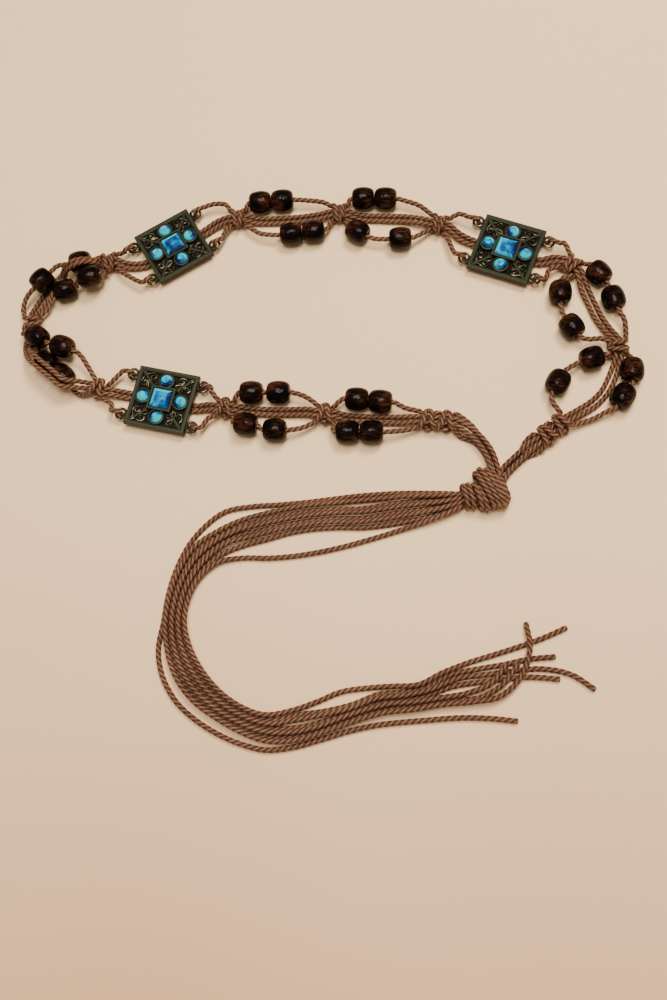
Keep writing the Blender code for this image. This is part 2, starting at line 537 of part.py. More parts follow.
def large_knot(cutters, mat, home):
    """The knot that ties the belt: loops of cord round the bundle, flat where it rests."""
    x, y, z, heading = KNOT_HEART
    heart = bpy.data.objects.new("large_knot", bpy.data.meshes.new("large_knot"))
    home.objects.link(heart)
    bm = bmesh.new()
    move = Matrix.Translation(place(x, y, z)) @ Matrix.Rotation(math.radians(heading), 4, "Z")
    bmesh.ops.create_icosphere(bm, subdivisions=1, radius=1.0,
                               matrix=move @ Matrix.Diagonal((*[h * MM for h in KNOT_HEART_HALF], 1)))
    bm.to_mesh(heart.data)
    bm.free()
    heart.data.materials.append(mat)
    loops = []
    for i, (cx, cy, way, half, rise) in enumerate(KNOT_LOOPS):
        ring = []
        for k in range(KNOT_LOOP_POINTS):
            a = math.radians(360 / KNOT_LOOP_POINTS * k + KNOT_LOOP_START)
            dx, dy = turn(half * math.cos(a), KNOT_LOOP_LEAN * math.sin(a), way)
            ring.append(place(cx + dx, cy + dy, KNOT_LOOP_Z + rise * math.sin(a)))
        loops.append(as_mesh(tube("knot_loop_%d" % i, ring, mat, 1, cutters, closed=True), cutters))
    middle = place(x, y, z)
    for role in ("work_outer", "filler_outer", "filler_inner", "work_inner"):
        for line in (LINK_LEFT, LINK_RIGHT[::-1]):
            # The right link is walked backwards here, so its lanes change sides.
            first, second = link_points(line, role, 1 if line is LINK_LEFT else -1)[:2]
            out = (first - second).normalized()
            start = first + out * STUB_GAP * MM
            stub = [start, start + out * STUB_LENGTH * MM, start.lerp(middle, STUB_SINK)]
            loops.append(as_mesh(tube("knot_stub", stub, mat, 1, cutters), cutters))
    combine(heart, loops, "UNION")
    below = box(40.0, 40.0, -4.0, 0.0, (x - LAY_CENTRE[0], y - LAY_CENTRE[1]))
    under = solid("knot_under", below, cutters)
    combine(heart, [under], "DIFFERENCE")
    return heart


def build():
    """Make every piece of the belt."""
    for obj in list(bpy.data.objects):
        bpy.data.objects.remove(obj)
    home = bpy.data.collections.new("cord_waist_belt")
    cutters = bpy.data.collections.new("cutters")
    for collection in (home, cutters):
        bpy.context.scene.collection.children.link(collection)
    cord = material("waxed_cord", (0.115, 0.048, 0.026), 0.62)
    wood = material("lacquered_wood", (0.020, 0.006, 0.004), 0.22)
    bronze = material("aged_bronze", (0.048, 0.043, 0.026), 0.45, 0.85)
    glass = material("turquoise_glass", (0.0, 0.33, 0.52), 0.12)

    routes = {"work_cord_1": ("work_outer", WORK_1), "work_cord_2": ("work_inner", WORK_2),
              "filler_cord_1": ("filler_outer", FILLER_1), "filler_cord_2": ("filler_inner", FILLER_2)}
    for name, (role, stops) in routes.items():
        tube(name, belt_route(role, stops), cord, 1, home)
    lanes = [tail_lane(i) for i in range(len(TAIL_ENDS))]
    for i in range(len(lanes)):
        tube("tail_%d" % (i + 1), tail_route(i, lanes), cord, 2, home)
    large_knot(cutters, cord, home)

    barrel = bead_mesh(cutters)
    barrel.materials.append(wood)
    for name, (x, y, z, heading) in BEADS.items():
        bead = bpy.data.objects.new("bead_" + name, barrel)
        bead.location = place(x, y, z)
        bead.rotation_euler.z = math.radians(heading)
        home.objects.link(bead)

    square = plate_mesh(cutters)
    square.materials.append(bronze)
    for name, (x, y, heading) in PLATES.items():
        plate = bpy.data.objects.new(name, square)
        plate.location = place(x, y, PLATE_UNDER)
        plate.rotation_euler.z = math.radians(heading)
        home.objects.link(plate)
        for k in range(4):
            dx, dy = turn(CUP_OFFSET, 0.0, heading + 90 * k)
            base = PLATE_UNDER + CUP_RISE + GAP
            cut = disc(STONE_D, 0.0, STONE_RISE, taper=STONE_TABLE)
            stone = solid("%s_stone_%d" % (name, k + 1), cut, home)
            stone.location = place(x + dx, y + dy, base)
            stone.data.materials.append(glass)
    for obj in cutters.objects:
        obj.hide_render = True
        obj.display_type = "WIRE"


build()
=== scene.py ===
import math

import bmesh
import bpy
import numpy as np
from mathutils import Matrix, Vector
from mathutils.geometry import intersect_point_line


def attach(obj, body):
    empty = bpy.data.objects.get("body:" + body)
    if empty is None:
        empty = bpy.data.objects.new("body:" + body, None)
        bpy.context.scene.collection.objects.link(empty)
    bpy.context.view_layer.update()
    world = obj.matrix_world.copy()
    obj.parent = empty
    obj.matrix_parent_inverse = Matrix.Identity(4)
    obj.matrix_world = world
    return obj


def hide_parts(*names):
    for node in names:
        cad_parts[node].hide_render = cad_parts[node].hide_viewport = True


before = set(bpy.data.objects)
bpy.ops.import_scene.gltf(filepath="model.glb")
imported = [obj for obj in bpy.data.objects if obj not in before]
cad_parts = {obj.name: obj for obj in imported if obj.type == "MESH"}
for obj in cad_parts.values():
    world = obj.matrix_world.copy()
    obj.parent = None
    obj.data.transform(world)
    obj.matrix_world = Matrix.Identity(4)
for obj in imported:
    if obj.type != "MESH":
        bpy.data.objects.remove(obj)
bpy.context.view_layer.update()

# Camera. It looks steeply down at the belt from the front, a little from the left, and is rolled as the
# photograph is. Its place and axes were solved from the plates and beads that the photograph shows.
CAMERA_PLACE = Vector((0.06232, -0.22341, 0.47104))
CAMERA_RIGHT = Vector((0.99428, 0.03986, -0.09902))
CAMERA_UP = Vector((-0.00919, 0.95615, 0.29273))
camera_data = bpy.data.cameras.new("camera")
camera_data.sensor_fit = "VERTICAL"
camera_data.sensor_height = 36
camera_data.lens = 37.8
camera_data.clip_start = 0.01
camera = bpy.data.objects.new("camera", camera_data)
bpy.context.scene.collection.objects.link(camera)
camera_axes = Matrix((CAMERA_RIGHT, CAMERA_UP, CAMERA_RIGHT.cross(CAMERA_UP))).transposed()
camera.matrix_world = Matrix.LocRotScale(CAMERA_PLACE, camera_axes.to_quaternion(), None)
bpy.context.scene.camera = camera


# Light. A soft light hangs right over the belt, and it is the one that the lacquer mirrors. A second one
# stands behind the belt on the right and gives the soft shadows in front. The room adds a little all round.
def soft_light(name, place, size, power, colour):
    """A square area light that points at the belt."""
    data = bpy.data.lights.new(name, "AREA")
    data.size = size
    data.energy = power
    data.color = colour
    lamp = bpy.data.objects.new(name, data)
    lamp.location = place
    lamp.rotation_euler = (-Vector(place)).to_track_quat("-Z", "Y").to_euler()
    bpy.context.scene.collection.objects.link(lamp)
    return lamp


soft_light("top_light", (0.0, -0.05, 1.4), 0.6, 17.0, (1.0, 0.94, 0.86))
back_light = soft_light("back_light", (0.35, 0.55, 1.25), 0.45, 22.0, (1.0, 0.94, 0.87))
back_light.visible_glossy = False
room = bpy.data.worlds.new("room")
room.use_nodes = True
room.node_tree.nodes["Background"].inputs["Color"].default_value = (1.0, 0.95, 0.9, 1.0)
room.node_tree.nodes["Background"].inputs["Strength"].default_value = 0.3
bpy.context.scene.world = room


# Table top. A plain, pale and warm board under the belt, matt and very slightly uneven, and a little
# browner in front.
def linear(hex_colour):
    """An sRGB hex colour in linear light, with full alpha."""
    parts = [int(hex_colour[i:i + 2], 16) / 255 for i in (1, 3, 5)]
    return [*(p / 12.92 if p <= 0.04045 else ((p + 0.055) / 1.055) ** 2.4 for p in parts), 1.0]


def new_material(name, hex_colour, **sockets):
    """A material whose one shader has a plain colour and the given values."""
    mat = bpy.data.materials.new(name)
    mat.use_nodes = True
    shader = mat.node_tree.nodes["Principled BSDF"]
    shader.inputs["Base Color"].default_value = linear(hex_colour)
    for socket, value in sockets.items():
        shader.inputs[socket.replace("_", " ")].default_value = value
    return mat, shader.inputs


def add_node(mat, kind, sockets=None, ramp=(), **options):
    """A node with its options, its sockets set to values or to other nodes' outputs, and its ramp colours."""
    made = mat.node_tree.nodes.new(kind)
    for name, value in options.items():
        setattr(made, name, value)
    for name, value in (sockets or {}).items():
        if isinstance(value, bpy.types.NodeSocket):
            mat.node_tree.links.new(value, made.inputs[name])
        else:
            made.inputs[name].default_value = value
    for i, (position, hex_colour) in enumerate(ramp):
        stops = made.color_ramp.elements
        stop = stops[i] if i < 2 else stops.new(position)
        stop.position = position
        stop.color = linear(hex_colour)
    return made


board, board_in = new_material("pale_board", "#E3CFB8", Roughness=0.7)
board_place = add_node(board, "ShaderNodeTexCoord").outputs["Object"]
board_depth = add_node(board, "ShaderNodeSeparateXYZ", {"Vector": board_place}).outputs["Y"]
board_front = add_node(board, "ShaderNodeMapRange",
                       {"Value": board_depth, "From Min": -0.32, "From Max": 0.0})
board_cloud = add_node(board, "ShaderNodeTexNoise", {"Vector": board_place, "Scale": 4.0, "Detail": 2.0})
board_tone = add_node(board, "ShaderNodeMath",
                      {0: board_cloud.outputs["Fac"], 1: 0.4, 2: board_front.outputs[0]},
                      operation="MULTIPLY_ADD")
board_ramp = add_node(board, "ShaderNodeValToRGB", {"Fac": board_tone.outputs[0]},
                      [(0.2, "#E0AF82"), (0.95, "#F7D1A2")])
board.node_tree.links.new(board_ramp.outputs["Color"], board_in["Base Color"])
bpy.ops.object.select_all(action="DESELECT")
bpy.ops.mesh.primitive_plane_add(size=6.0)
table_top = bpy.context.object
table_top.name = "table_top"
table_top.data.materials.append(board)

# Cord. All of it is one waxed cotton-type cord, 2.6 mm thick, laid up from three plies that are twisted
# to the left, one turn in 8.7 mm. Its fine fibres run along the plies, and the wax gives it a soft sheen.
# Shade is painted into the grooves between the plies, and a highlight is painted along each ply's crown.
MM = 0.001
CORD_R = 1.3
CORD_LAY = 8.7
PLY_GROOVE = 0.38         # depth of the groove between two plies
PLY_CROWN = 2.6           # more makes the plies broader on top and the grooves narrower
TRIMMED_END = 0.8         # width of a cut end against the rest
SECTION = 18              # points round the cord, six to each ply
SWEEP_STEP = 0.7


def even_steps(points, step, closed=False):
    """The same line as an array in mm, with equal steps."""
    line = np.array([tuple(p) for p in points])
    if closed:
        line = np.vstack([line, line[:1]])
    run = np.r_[0.0, np.cumsum(np.linalg.norm(np.diff(line, axis=0), axis=1))]
    count = max(4, round(run[-1] / step))
    goal = np.linspace(0.0, run[-1], count + 1)
    return np.stack([np.interp(goal, run, line[:, k]) for k in range(3)], axis=1), run[-1]


def sweep(line, length, closed):
    """Vertices, faces and UVs of one three-ply cord along a line."""
    ahead = np.gradient(line, axis=0)
    if closed:
        ahead[0] = ahead[-1] = line[1] - line[-2]
    ahead /= np.linalg.norm(ahead, axis=1)[:, None]
    side = np.cross(ahead[0], (0.0, 0.0, 1.0))
    if np.linalg.norm(side) < 0.1:
        side = np.cross(ahead[0], (1.0, 0.0, 0.0))
    sides = []
    for way in ahead:
        side = side - way * (side @ way)
        side /= np.linalg.norm(side)
        sides.append(side)
    sides = np.array(sides)
    others = np.cross(ahead, sides)
    run = np.linspace(0.0, length, len(line))
    turns = length / CORD_LAY
    if closed:
        # A closed ring takes a whole number of turns, less the turn that its frame makes by itself.
        gap = math.atan2(sides[-1] @ others[0], sides[-1] @ sides[0])
        turns = round(turns * 3) / 3 + gap / math.tau
    corner = np.arange(SECTION) / SECTION
    from_top = np.abs(corner * 3 % 1.0 - 0.5) * 2
    radius = CORD_R - PLY_GROOVE * from_top**PLY_CROWN
    angle = corner[None, :] * math.tau - (run / max(length, 1e-6) * turns * math.tau)[:, None]
    # Both open ends are drawn in a little, as a trimmed cord is.
    thick = np.ones(len(line))
    if not closed:
        thick[0] = thick[-1] = TRIMMED_END
    out = radius[None, :] * thick[:, None]
    rings = (line[:, None, :] + (out * np.cos(angle))[..., None] * sides[:, None, :]
             + (out * np.sin(angle))[..., None] * others[:, None, :])
    rows = len(line) - 1 if closed else len(line)
    verts = rings[:rows].reshape(-1, 3)
    faces, uvs = [], []
    for i in range(len(line) - 1):
        for k in range(SECTION):
            n = (k + 1) % SECTION
            above = (i + 1) % rows
            faces.append((i * SECTION + k, i * SECTION + n, above * SECTION + n, above * SECTION + k))
            u0, u1, v0, v1 = run[i], run[i + 1], k / SECTION, (k + 1) / SECTION
            uvs += [(u0, v0), (u0, v1), (u1, v1), (u1, v0)]
    if not closed:
        top = (len(line) - 1) * SECTION
        faces.append(tuple(reversed(range(SECTION))))
        faces.append(tuple(range(top, top + SECTION)))
        uvs += [(0.0, 0.0)] * (2 * SECTION)
    return verts, faces, uvs


def cord_piece(name, lines, finish, closed=False):
    """One object made of three-ply cord along each of the lines, which are in mm in the belt's own frame."""
    verts, faces, uvs = [], [], []
    for points in lines:
        line, length = even_steps(points, SWEEP_STEP, closed)
        v, f, t = sweep(line, length, closed)
        start = sum(len(x) for x in verts)
        verts.append(v * MM)
        faces += [tuple(i + start for i in face) for face in f]
        uvs += t
    mesh = bpy.data.meshes.new(name)
    mesh.from_pydata(np.vstack(verts).tolist(), [], faces)
    layer = mesh.uv_layers.new(name="along_the_cord")
    layer.data.foreach_set("uv", np.array(uvs, np.float32).ravel())
    mesh.polygons.foreach_set("use_smooth", [len(face) == 4 for face in faces])
    mesh.materials.append(finish)
    obj = bpy.data.objects.new(name, mesh)
    bpy.context.scene.collection.objects.link(obj)
    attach(obj, "root")
    return obj


waxed_cord, cord_in = new_material("waxed_cord", "#6F4B35", Roughness=0.55, Specular_IOR_Level=0.4)
cord_uv = add_node(waxed_cord, "ShaderNodeSeparateXYZ",
                   {"Vector": add_node(waxed_cord, "ShaderNodeTexCoord").outputs["UV"]})
across_plies = add_node(waxed_cord, "ShaderNodeMath", {0: cord_uv.outputs["Y"], 1: 3.0}, operation="MULTIPLY")
ply_crown = add_node(waxed_cord, "ShaderNodeMath", {0: across_plies.outputs[0], 1: 0.5}, operation="PINGPONG")
# Painted shade and highlight: the cord darkens towards the grooves between the plies, where shade falls, and
# lightens to a narrow painted highlight on each ply's crown.
ply_shade_and_highlight = add_node(waxed_cord, "ShaderNodeValToRGB", {"Fac": ply_crown.outputs[0]},
                    [(0.0, "#361505"), (0.12, "#61371C"), (0.38, "#785238"), (0.5, "#A88A70")])
# Fibres 0.2 mm wide and about 3 mm long run along the plies.
fibre_place = add_node(waxed_cord, "ShaderNodeCombineXYZ")
fibre_along = add_node(waxed_cord, "ShaderNodeMath", {0: cord_uv.outputs["X"], 1: 0.35}, operation="MULTIPLY")
fibre_across = add_node(waxed_cord, "ShaderNodeMath", {0: cord_uv.outputs["Y"], 1: 40.0},
                        operation="MULTIPLY")
waxed_cord.node_tree.links.new(fibre_along.outputs[0], fibre_place.inputs["X"])
waxed_cord.node_tree.links.new(fibre_across.outputs[0], fibre_place.inputs["Y"])
fibres = add_node(waxed_cord, "ShaderNodeTexNoise",
                  {"Vector": fibre_place.outputs[0], "Scale": 1.0, "Detail": 3.0, "Roughness": 0.6})
fibre_tone = add_node(waxed_cord, "ShaderNodeValToRGB", {"Fac": fibres.outputs["Fac"]},
                      [(0.32, "#94806F"), (0.66, "#FFFFFF")])
with_fibres = add_node(waxed_cord, "ShaderNodeMix", {0: 0.75, 6: ply_shade_and_highlight.outputs["Color"],
                                                     7: fibre_tone.outputs["Color"]},
                       data_type="RGBA", blend_type="MULTIPLY")
# The dye is a little uneven over stretches of about 20 mm.
cord_place = add_node(waxed_cord, "ShaderNodeTexCoord").outputs["Object"]
dye = add_node(waxed_cord, "ShaderNodeTexNoise", {"Vector": cord_place, "Scale": 45.0, "Detail": 2.0})
dye_tone = add_node(waxed_cord, "ShaderNodeValToRGB", {"Fac": dye.outputs["Fac"]},
                    [(0.3, "#D8C8BC"), (0.7, "#FFFFFF")])
dyed = add_node(waxed_cord, "ShaderNodeMix",
                {0: 0.8, 6: with_fibres.outputs[2], 7: dye_tone.outputs["Color"]},
                data_type="RGBA", blend_type="MULTIPLY")
waxed_cord.node_tree.links.new(dyed.outputs[2], cord_in["Base Color"])
cord_bump = add_node(waxed_cord, "ShaderNodeBump",
                     {"Height": fibres.outputs["Fac"], "Strength": 0.5, "Distance": 0.00012})
waxed_cord.node_tree.links.new(cord_bump.outputs["Normal"], cord_in["Normal"])

# Belt cords. Four cords run side by side the whole way round: two fillers in the middle, and two working
# cords that carry the beads, pass through the plates' lugs and tie a square knot round the fillers between
# one group and the next. The tables give the lay as measured on the table top, in mm.
LAY_CENTRE = (-9.65, 79.71)
ON_TABLE = 1.35
# Square knots: x, y and the heading of the belt in degrees, in order round the belt.
KNOTS = {
    "k0a": (52.6, 38.3, 176), "k0b": (43.9, 38.9, 176), "k1": (-5.2, 42.0, 177), "k2": (-54.2, 45.0, 178),
    "k3": (-118.6, 55.2, 160), "k4": (-157.2, 91.0, 97), "k5": (-120.4, 125.3, 8), "k6": (-54.9, 149.6, 2),
    "k7": (-2.6, 151.6, 0), "k8": (48.1, 144.1, -14), "k9": (112.9, 119.9, -40), "k10": (133.4, 75.5, -87),
    "k11a": (105.4, 36.8, -140), "k11b": (98.7, 31.2, -140),
}

# Beads: x, y and z of the centre and the heading of the cord through it.
BEADS = {
    "a1": (17.4, 32.1, 5.8, 180), "a2": (5.9, 32.1, 5.8, 180),
    "a3": (21.2, 47.7, 5.8, 176), "a4": (9.9, 48.9, 5.8, 177),
    "b1": (-29.0, 33.0, 5.8, 179), "b2": (-43.4, 36.0, 5.8, 173),
    "b3": (-28.3, 52.4, 5.8, 180), "b4": (-41.6, 52.4, 5.8, 180),
    "c1": (-151.6, 81.2, 9.4, 148), "c2": (-137.9, 75.8, 9.4, 160),
    "c3": (-146.3, 68.6, 5.8, 142), "c4": (-137.5, 61.7, 5.8, 142),
    "d1": (-153.0, 112.7, 9.5, 50), "d2": (-141.8, 109.0, 5.8, 16),
    "d3": (-128.1, 114.1, 10.0, 14), "d4": (-135.4, 125.0, 5.8, 10),
    "e1": (-43.6, 158.0, 5.8, 4), "e2": (-32.2, 158.7, 5.8, 3),
    "e3": (-26.6, 139.2, 5.8, 4), "e4": (-15.2, 140.6, 5.8, 7),
    "f1": (9.4, 159.0, 5.8, 0), "f2": (20.8, 158.6, 5.8, -3),
    "f3": (7.2, 139.9, 5.8, -30), "f4": (28.8, 135.6, 5.8, 3),
    "g1": (125.6, 114.6, 5.8, -52), "g2": (131.9, 101.0, 5.8, -72),
    "g3": (106.9, 104.4, 5.8, -90), "g4": (111.9, 86.2, 5.8, -57),
    "h1": (139.2, 63.4, 5.8, -90), "h2": (134.4, 50.2, 5.8, -122),
    "h3": (120.8, 69.6, 5.8, -160), "h4": (104.8, 57.4, 5.8, -119),
}

# Plates: x and y of the centre and the heading of the belt through it.
PLATES = {"plate_1": (-87.4, 134.2, 32.0), "plate_2": (-86.0, 49.0, 168.6), "plate_3": (81.4, 129.1, -19.4)}

# What each cord meets from the left link to the right one. A name is a knot, a bead or a plate, and a
# tuple is a point that the cord passes, in mm.
WORK_1 = [
    "k0a", "k0b", (33, 33.4, 4.6), (27, 32.4, 5.6), "a1", "a2", "k1",
    (-15, 34.8, 5.0), "b1", (-36.4, 34.0, 5.8), "b2", "k2", (-62, 39.2, 5.2), "plate_2",
    (-111, 46.4, 4.9), "k3", (-128.4, 52.6, 2.2), (-132.6, 55.6, 3.4), "c4", "c3", (-152.2, 76.0, 2.6),
    (-152.8, 81.4, 1.9), "cross", "k4", (-149.8, 99.4, 4.6), "d2", "d3", (-121.6, 117.6, 7.0), "k5",
    (-112, 118.6, 4.8), "plate_1", (-61.5, 140.6, 5.0), "k6", (-43, 140.4, 5.0), (-37, 139.0, 5.6), "e3",
    "e4", "k7", "f3", (16.4, 135.8, 5.4), "f4", "k8", (53.4, 132.8, 5.2), "plate_3", (102, 117.2, 5.2), "k9",
    (109.4, 112.9, 5.4), "g3", (107.4, 94.8, 5.6), "g4", (119.5, 79.8, 5.2), (125.6, 80.4, 4.6), "k10", "h3",
    (112, 66.0, 5.6), "h4", (102.2, 47.6, 5.0), "k11a", "k11b",
]
WORK_2 = [
    "k0a", "k0b", (33, 44.8, 4.6), "a3", "a4", "k1", (-15, 50.4, 5.0), "b3", "b4", "k2",
    (-62, 54.2, 5.6), "plate_2", (-109, 62.0, 5.2), "k3", (-124.6, 65.8, 5.0), (-129.4, 72.4, 7.4), "c2",
    "c1", (-160.6, 84.2, 6.4), "cross", "k4", (-163.0, 98.6, 4.6), (-161.4, 104.0, 6.6), "d1",
    (-146.6, 121.6, 8.0), "d4", "k5", (-112.5, 131.0, 5.2), "plate_1", (-67.5, 157.6, 5.7),
    (-61.5, 157.4, 4.8), "k6", "e1", "e2", (-20, 158.8, 5.4), (-11, 157.8, 4.8), "k7", "f1", "f2",
    (31, 157.4, 5.2), (38, 154.8, 4.8), "k8", (58, 149.0, 5.6), "plate_3", (109.5, 131.6, 5.4), "k9", "g1",
    "g2", (136.8, 90, 5.0), "k10", "h1", "h2", (126.4, 42.6, 4.4), (120.6, 39.8, 3.2), "k11a", "k11b",
]
FILLER_1 = [
    "k0a", "k0b", (30, 37.8, 2.4), (17, 38.5, 1.4), (5, 39.2, 1.8), "k1", (-14, 42.0, 2.6),
    (-30, 42.2, 1.4), (-43, 42.8, 1.8), "k2", (-64, 44.6, 2.2), "plate_2", (-108, 51.6, 2.4), "k3",
    (-129.8, 54.4, 7.8), (-136.4, 54.3, 10.8), (-140.7, 57.6, 11.6), (-149.5, 64.5, 11.6),
    (-154.3, 68.6, 9.4), (-158.2, 74.2, 5.6), (-159.8, 79.4, 3.2), (-159.5, 83.2, 2.6), "k4",
    (-158.0, 101.0, 2.0), (-154.4, 108.6, 1.4), (-150.0, 115.4, 1.4), (-146.0, 119.2, 2.4),
    (-141.6, 120.2, 9.4), (-137.4, 121.1, 12.8), (-132.6, 122.6, 12.8), (-128.0, 124.0, 9.6), "k5",
    (-113, 126.2, 2.6), "plate_1",
    (-66, 149.6, 2.4), "k6", (-45, 151.0, 1.8), (-26, 151.4, 1.6), (-12, 152.6, 2.6), "k7", (7, 152.0, 1.7),
    (20, 151.2, 1.5), (32, 150.2, 2.2), "k8", (59, 139.6, 2.2), "plate_3", (104, 125.8, 2.2), "k9",
    (120.4, 108.8, 2.6), (123.6, 101, 1.6), (126.6, 93.6, 1.6), (130.6, 86.4, 2.4), "k10",
    (133.6, 66.4, 1.9), (131.4, 59.6, 1.4), (128.0, 53.2, 1.4), (123.0, 47.4, 1.6), (116, 42.4, 2.6),
    "k11a", "k11b",
]
FILLER_2 = [
    "k0a", "k0b", (30, 41.0, 2.4), (17, 41.5, 1.4), (5, 42.2, 1.8), "k1", (-14, 45.0, 2.6),
    (-30, 45.2, 1.4), (-43, 45.8, 1.8), "k2", (-64, 47.6, 2.2), "plate_2", (-108, 54.6, 2.4), "k3",
    (-128.8, 57.5, 8.6), (-134.5, 57.0, 12.2), (-138.7, 60.2, 13.2), (-147.5, 67.1, 13.2),
    (-151.3, 70.4, 12.2), (-154.9, 74.2, 8.2), (-156.7, 78.8, 3.6), (-156.5, 82.8, 2.5), "k4",
    (-155.0, 99.8, 1.6), (-151.4, 107.0, 1.4), (-147.4, 113.2, 1.4), (-144.3, 116.4, 2.8),
    (-140.4, 117.5, 10.0), (-136.1, 118.4, 13.6), (-131.0, 120.3, 13.9), (-126.6, 121.8, 10.4), "k5",
    (-113, 123.2, 2.6), "plate_1",
    (-65, 146.6, 2.4), "k6", (-45, 148.0, 1.8), (-26, 148.4, 1.6), (-12, 149.6, 2.6), "k7", (8, 149.0, 1.7),
    (20, 148.2, 1.5), (31, 147.2, 2.2), "k8", (58, 136.6, 2.2), "plate_3", (102, 122.4, 2.2), "k9",
    (117.2, 108.0, 2.6), (120.4, 100, 1.6), (123.4, 92.6, 1.6), (127.6, 85.4, 2.4), "k10",
    (130.6, 66.2, 1.9), (128.2, 60.2, 1.4), (125.2, 54.6, 1.4), (120.8, 49.8, 1.6), (114, 44.8, 2.6),
    "k11a", "k11b",
]

# The two short bundles between the end knots and the large knot, where the working cords close up under
# the fillers: x and y of the middle and the offset of each working cord. Both run on into the large knot.
LINK_LEFT = [(76.4, 9.0, 1.6), (75.2, 14.0, 1.6), (74.0, 18.6, 1.6), (72.0, 23.6, 1.6), (67.6, 29.6, 1.9),
             (61.6, 34.6, 3.9)]
LINK_RIGHT = [(92.4, 26.4, 3.9), (88.2, 22.4, 1.8), (84.3, 18.5, 1.6), (80.4, 14.4, 1.6), (77.0, 8.0, 1.6)]
LINK_FILLER_Z = 4.3
# Two working cords trade sides once, under and over the left end of the belt.
TRADED = {"work_outer": "work_inner", "work_inner": "work_outer"}

KNOT_Z = 4.2
KNOT_REACH = 3.9
FILLER_OFFSET = 1.55
KNOT_FILLER = 1.35        # half way between the two fillers where a knot draws them together
# The outer working cord in the first half of a square knot: along, to its own side and up from the middle.
# The second half mirrors it past the bend, and the inner cord takes the other side and goes under.
KNOT_STEPS = [(-KNOT_REACH, 4.0, 0.3), (-2.9, 3.6, 1.9), (-1.9, 1.9, 2.75), (-1.5, -1.9, 2.7),
              (-1.1, -3.6, 1.8)]
KNOT_BEND = (0.0, -4.4, 0.5)
BEAD_HALF = 5.4
BEAD_LEAD = 0.7
PLATE_HALF = 15.5
LUG_OFFSET = 10.75
LUG_HOLE = 18.2           # from the plate's middle to the middle of a lug's hole, along the belt
LUG_TOP = 4.9
# A working cord at a lug: outward from the hole's centre, and up from where it would lie on the lug.
LUG_PASS = [(4.8, -0.6), (2.6, 0.15), (0.9, -0.2), (0.2, -1.8), (-0.2, -3.5)]


def turn(x, y, heading):
    """A step of x along a heading and y to the left of it."""
    c, s = math.cos(math.radians(heading)), math.sin(math.radians(heading))
    return x * c - y * s, x * s + y * c


def place(x, y, z):
    """A point measured on the table top, in mm in the belt's own frame."""
    return Vector((x - LAY_CENTRE[0], y - LAY_CENTRE[1], z))


def smooth(points, step, straight=()):
    """Points along a smooth curve through the given ones, at most a step apart."""
    line = [2 * points[0] - points[1], *points, 2 * points[-1] - points[-2]]
    out = [points[0]]
    for k, (p0, p1, p2, p3) in enumerate(zip(line, line[1:], line[2:], line[3:])):
        if k in straight:
            out.append(p2)
            continue
        t01, t12, t23 = [max((b - a).length, 1e-6) ** 0.5 for a, b in ((p0, p1), (p1, p2), (p2, p3))]
        m1 = (p2 - p1) + t12 * ((p1 - p0) / t01 - (p2 - p0) / (t01 + t12))
        m2 = (p2 - p1) + t12 * ((p3 - p2) / t23 - (p3 - p1) / (t12 + t23))
        count = max(1, math.ceil((p2 - p1).length / step))
        for i in range(1, count + 1):
            u = i / count
            out.append((2 * u**3 - 3 * u**2 + 1) * p1 + (u**3 - 2 * u**2 + u) * m1
                       + (3 * u**2 - 2 * u**3) * p2 + (u**3 - u**2) * m2)
    return out


def passage(stop, role):
    """The points, in mm, through which one cord passes a knot, a bead or a plate."""
    side = 1 if role.endswith("outer") else -1
    filler = role.startswith("filler")
    if stop in BEADS:
        x, y, z, heading = BEADS[stop]
        steps = [(-BEAD_HALF - BEAD_LEAD, 0.0, z), (BEAD_HALF + BEAD_LEAD, 0.0, z)]
    elif stop in KNOTS:
        x, y, heading = KNOTS[stop]
        steps = [(-KNOT_REACH, side * KNOT_FILLER, KNOT_Z), (KNOT_REACH, side * KNOT_FILLER, KNOT_Z)]
        if not filler:
            back = [(-along, left, up) for along, left, up in reversed(KNOT_STEPS)]
            steps = [(a, side * b, KNOT_Z + side * c) for a, b, c in KNOT_STEPS + [KNOT_BEND] + back]
    else:
        x, y, heading = PLATES[stop]
        out = [(PLATE_HALF + 1.0, ON_TABLE)]
        if not filler:
            over = LUG_TOP + CORD_R + 0.3
            out = [(LUG_HOLE + along, over + up) for along, up in LUG_PASS]
            out.append((LUG_HOLE - 1.5, ON_TABLE + 0.25))
        left = side * (FILLER_OFFSET if filler else LUG_OFFSET)
        steps = [(-along, left, up) for along, up in out] + [(along, left, up) for along, up in out[::-1]]
    points = []
    for along, left, up in steps:
        dx, dy = turn(along, left, heading)
        points.append(place(x + dx, y + dy, up))
    return points


def link_lane(line, role):
    """One cord's lane in a link bundle."""
    side = 1 if role.endswith("outer") else -1
    filler = role.startswith("filler")
    points = []
    for i, (x, y, spread_out) in enumerate(line):
        ax, ay, _ = line[max(i - 1, 0)]
        bx, by, _ = line[min(i + 1, len(line) - 1)]
        left = side * (FILLER_OFFSET if filler else spread_out)
        dx, dy = turn(0.0, left, math.degrees(math.atan2(by - ay, bx - ax)))
        points.append(place(x + dx, y + dy, LINK_FILLER_Z if filler else ON_TABLE))
    return points


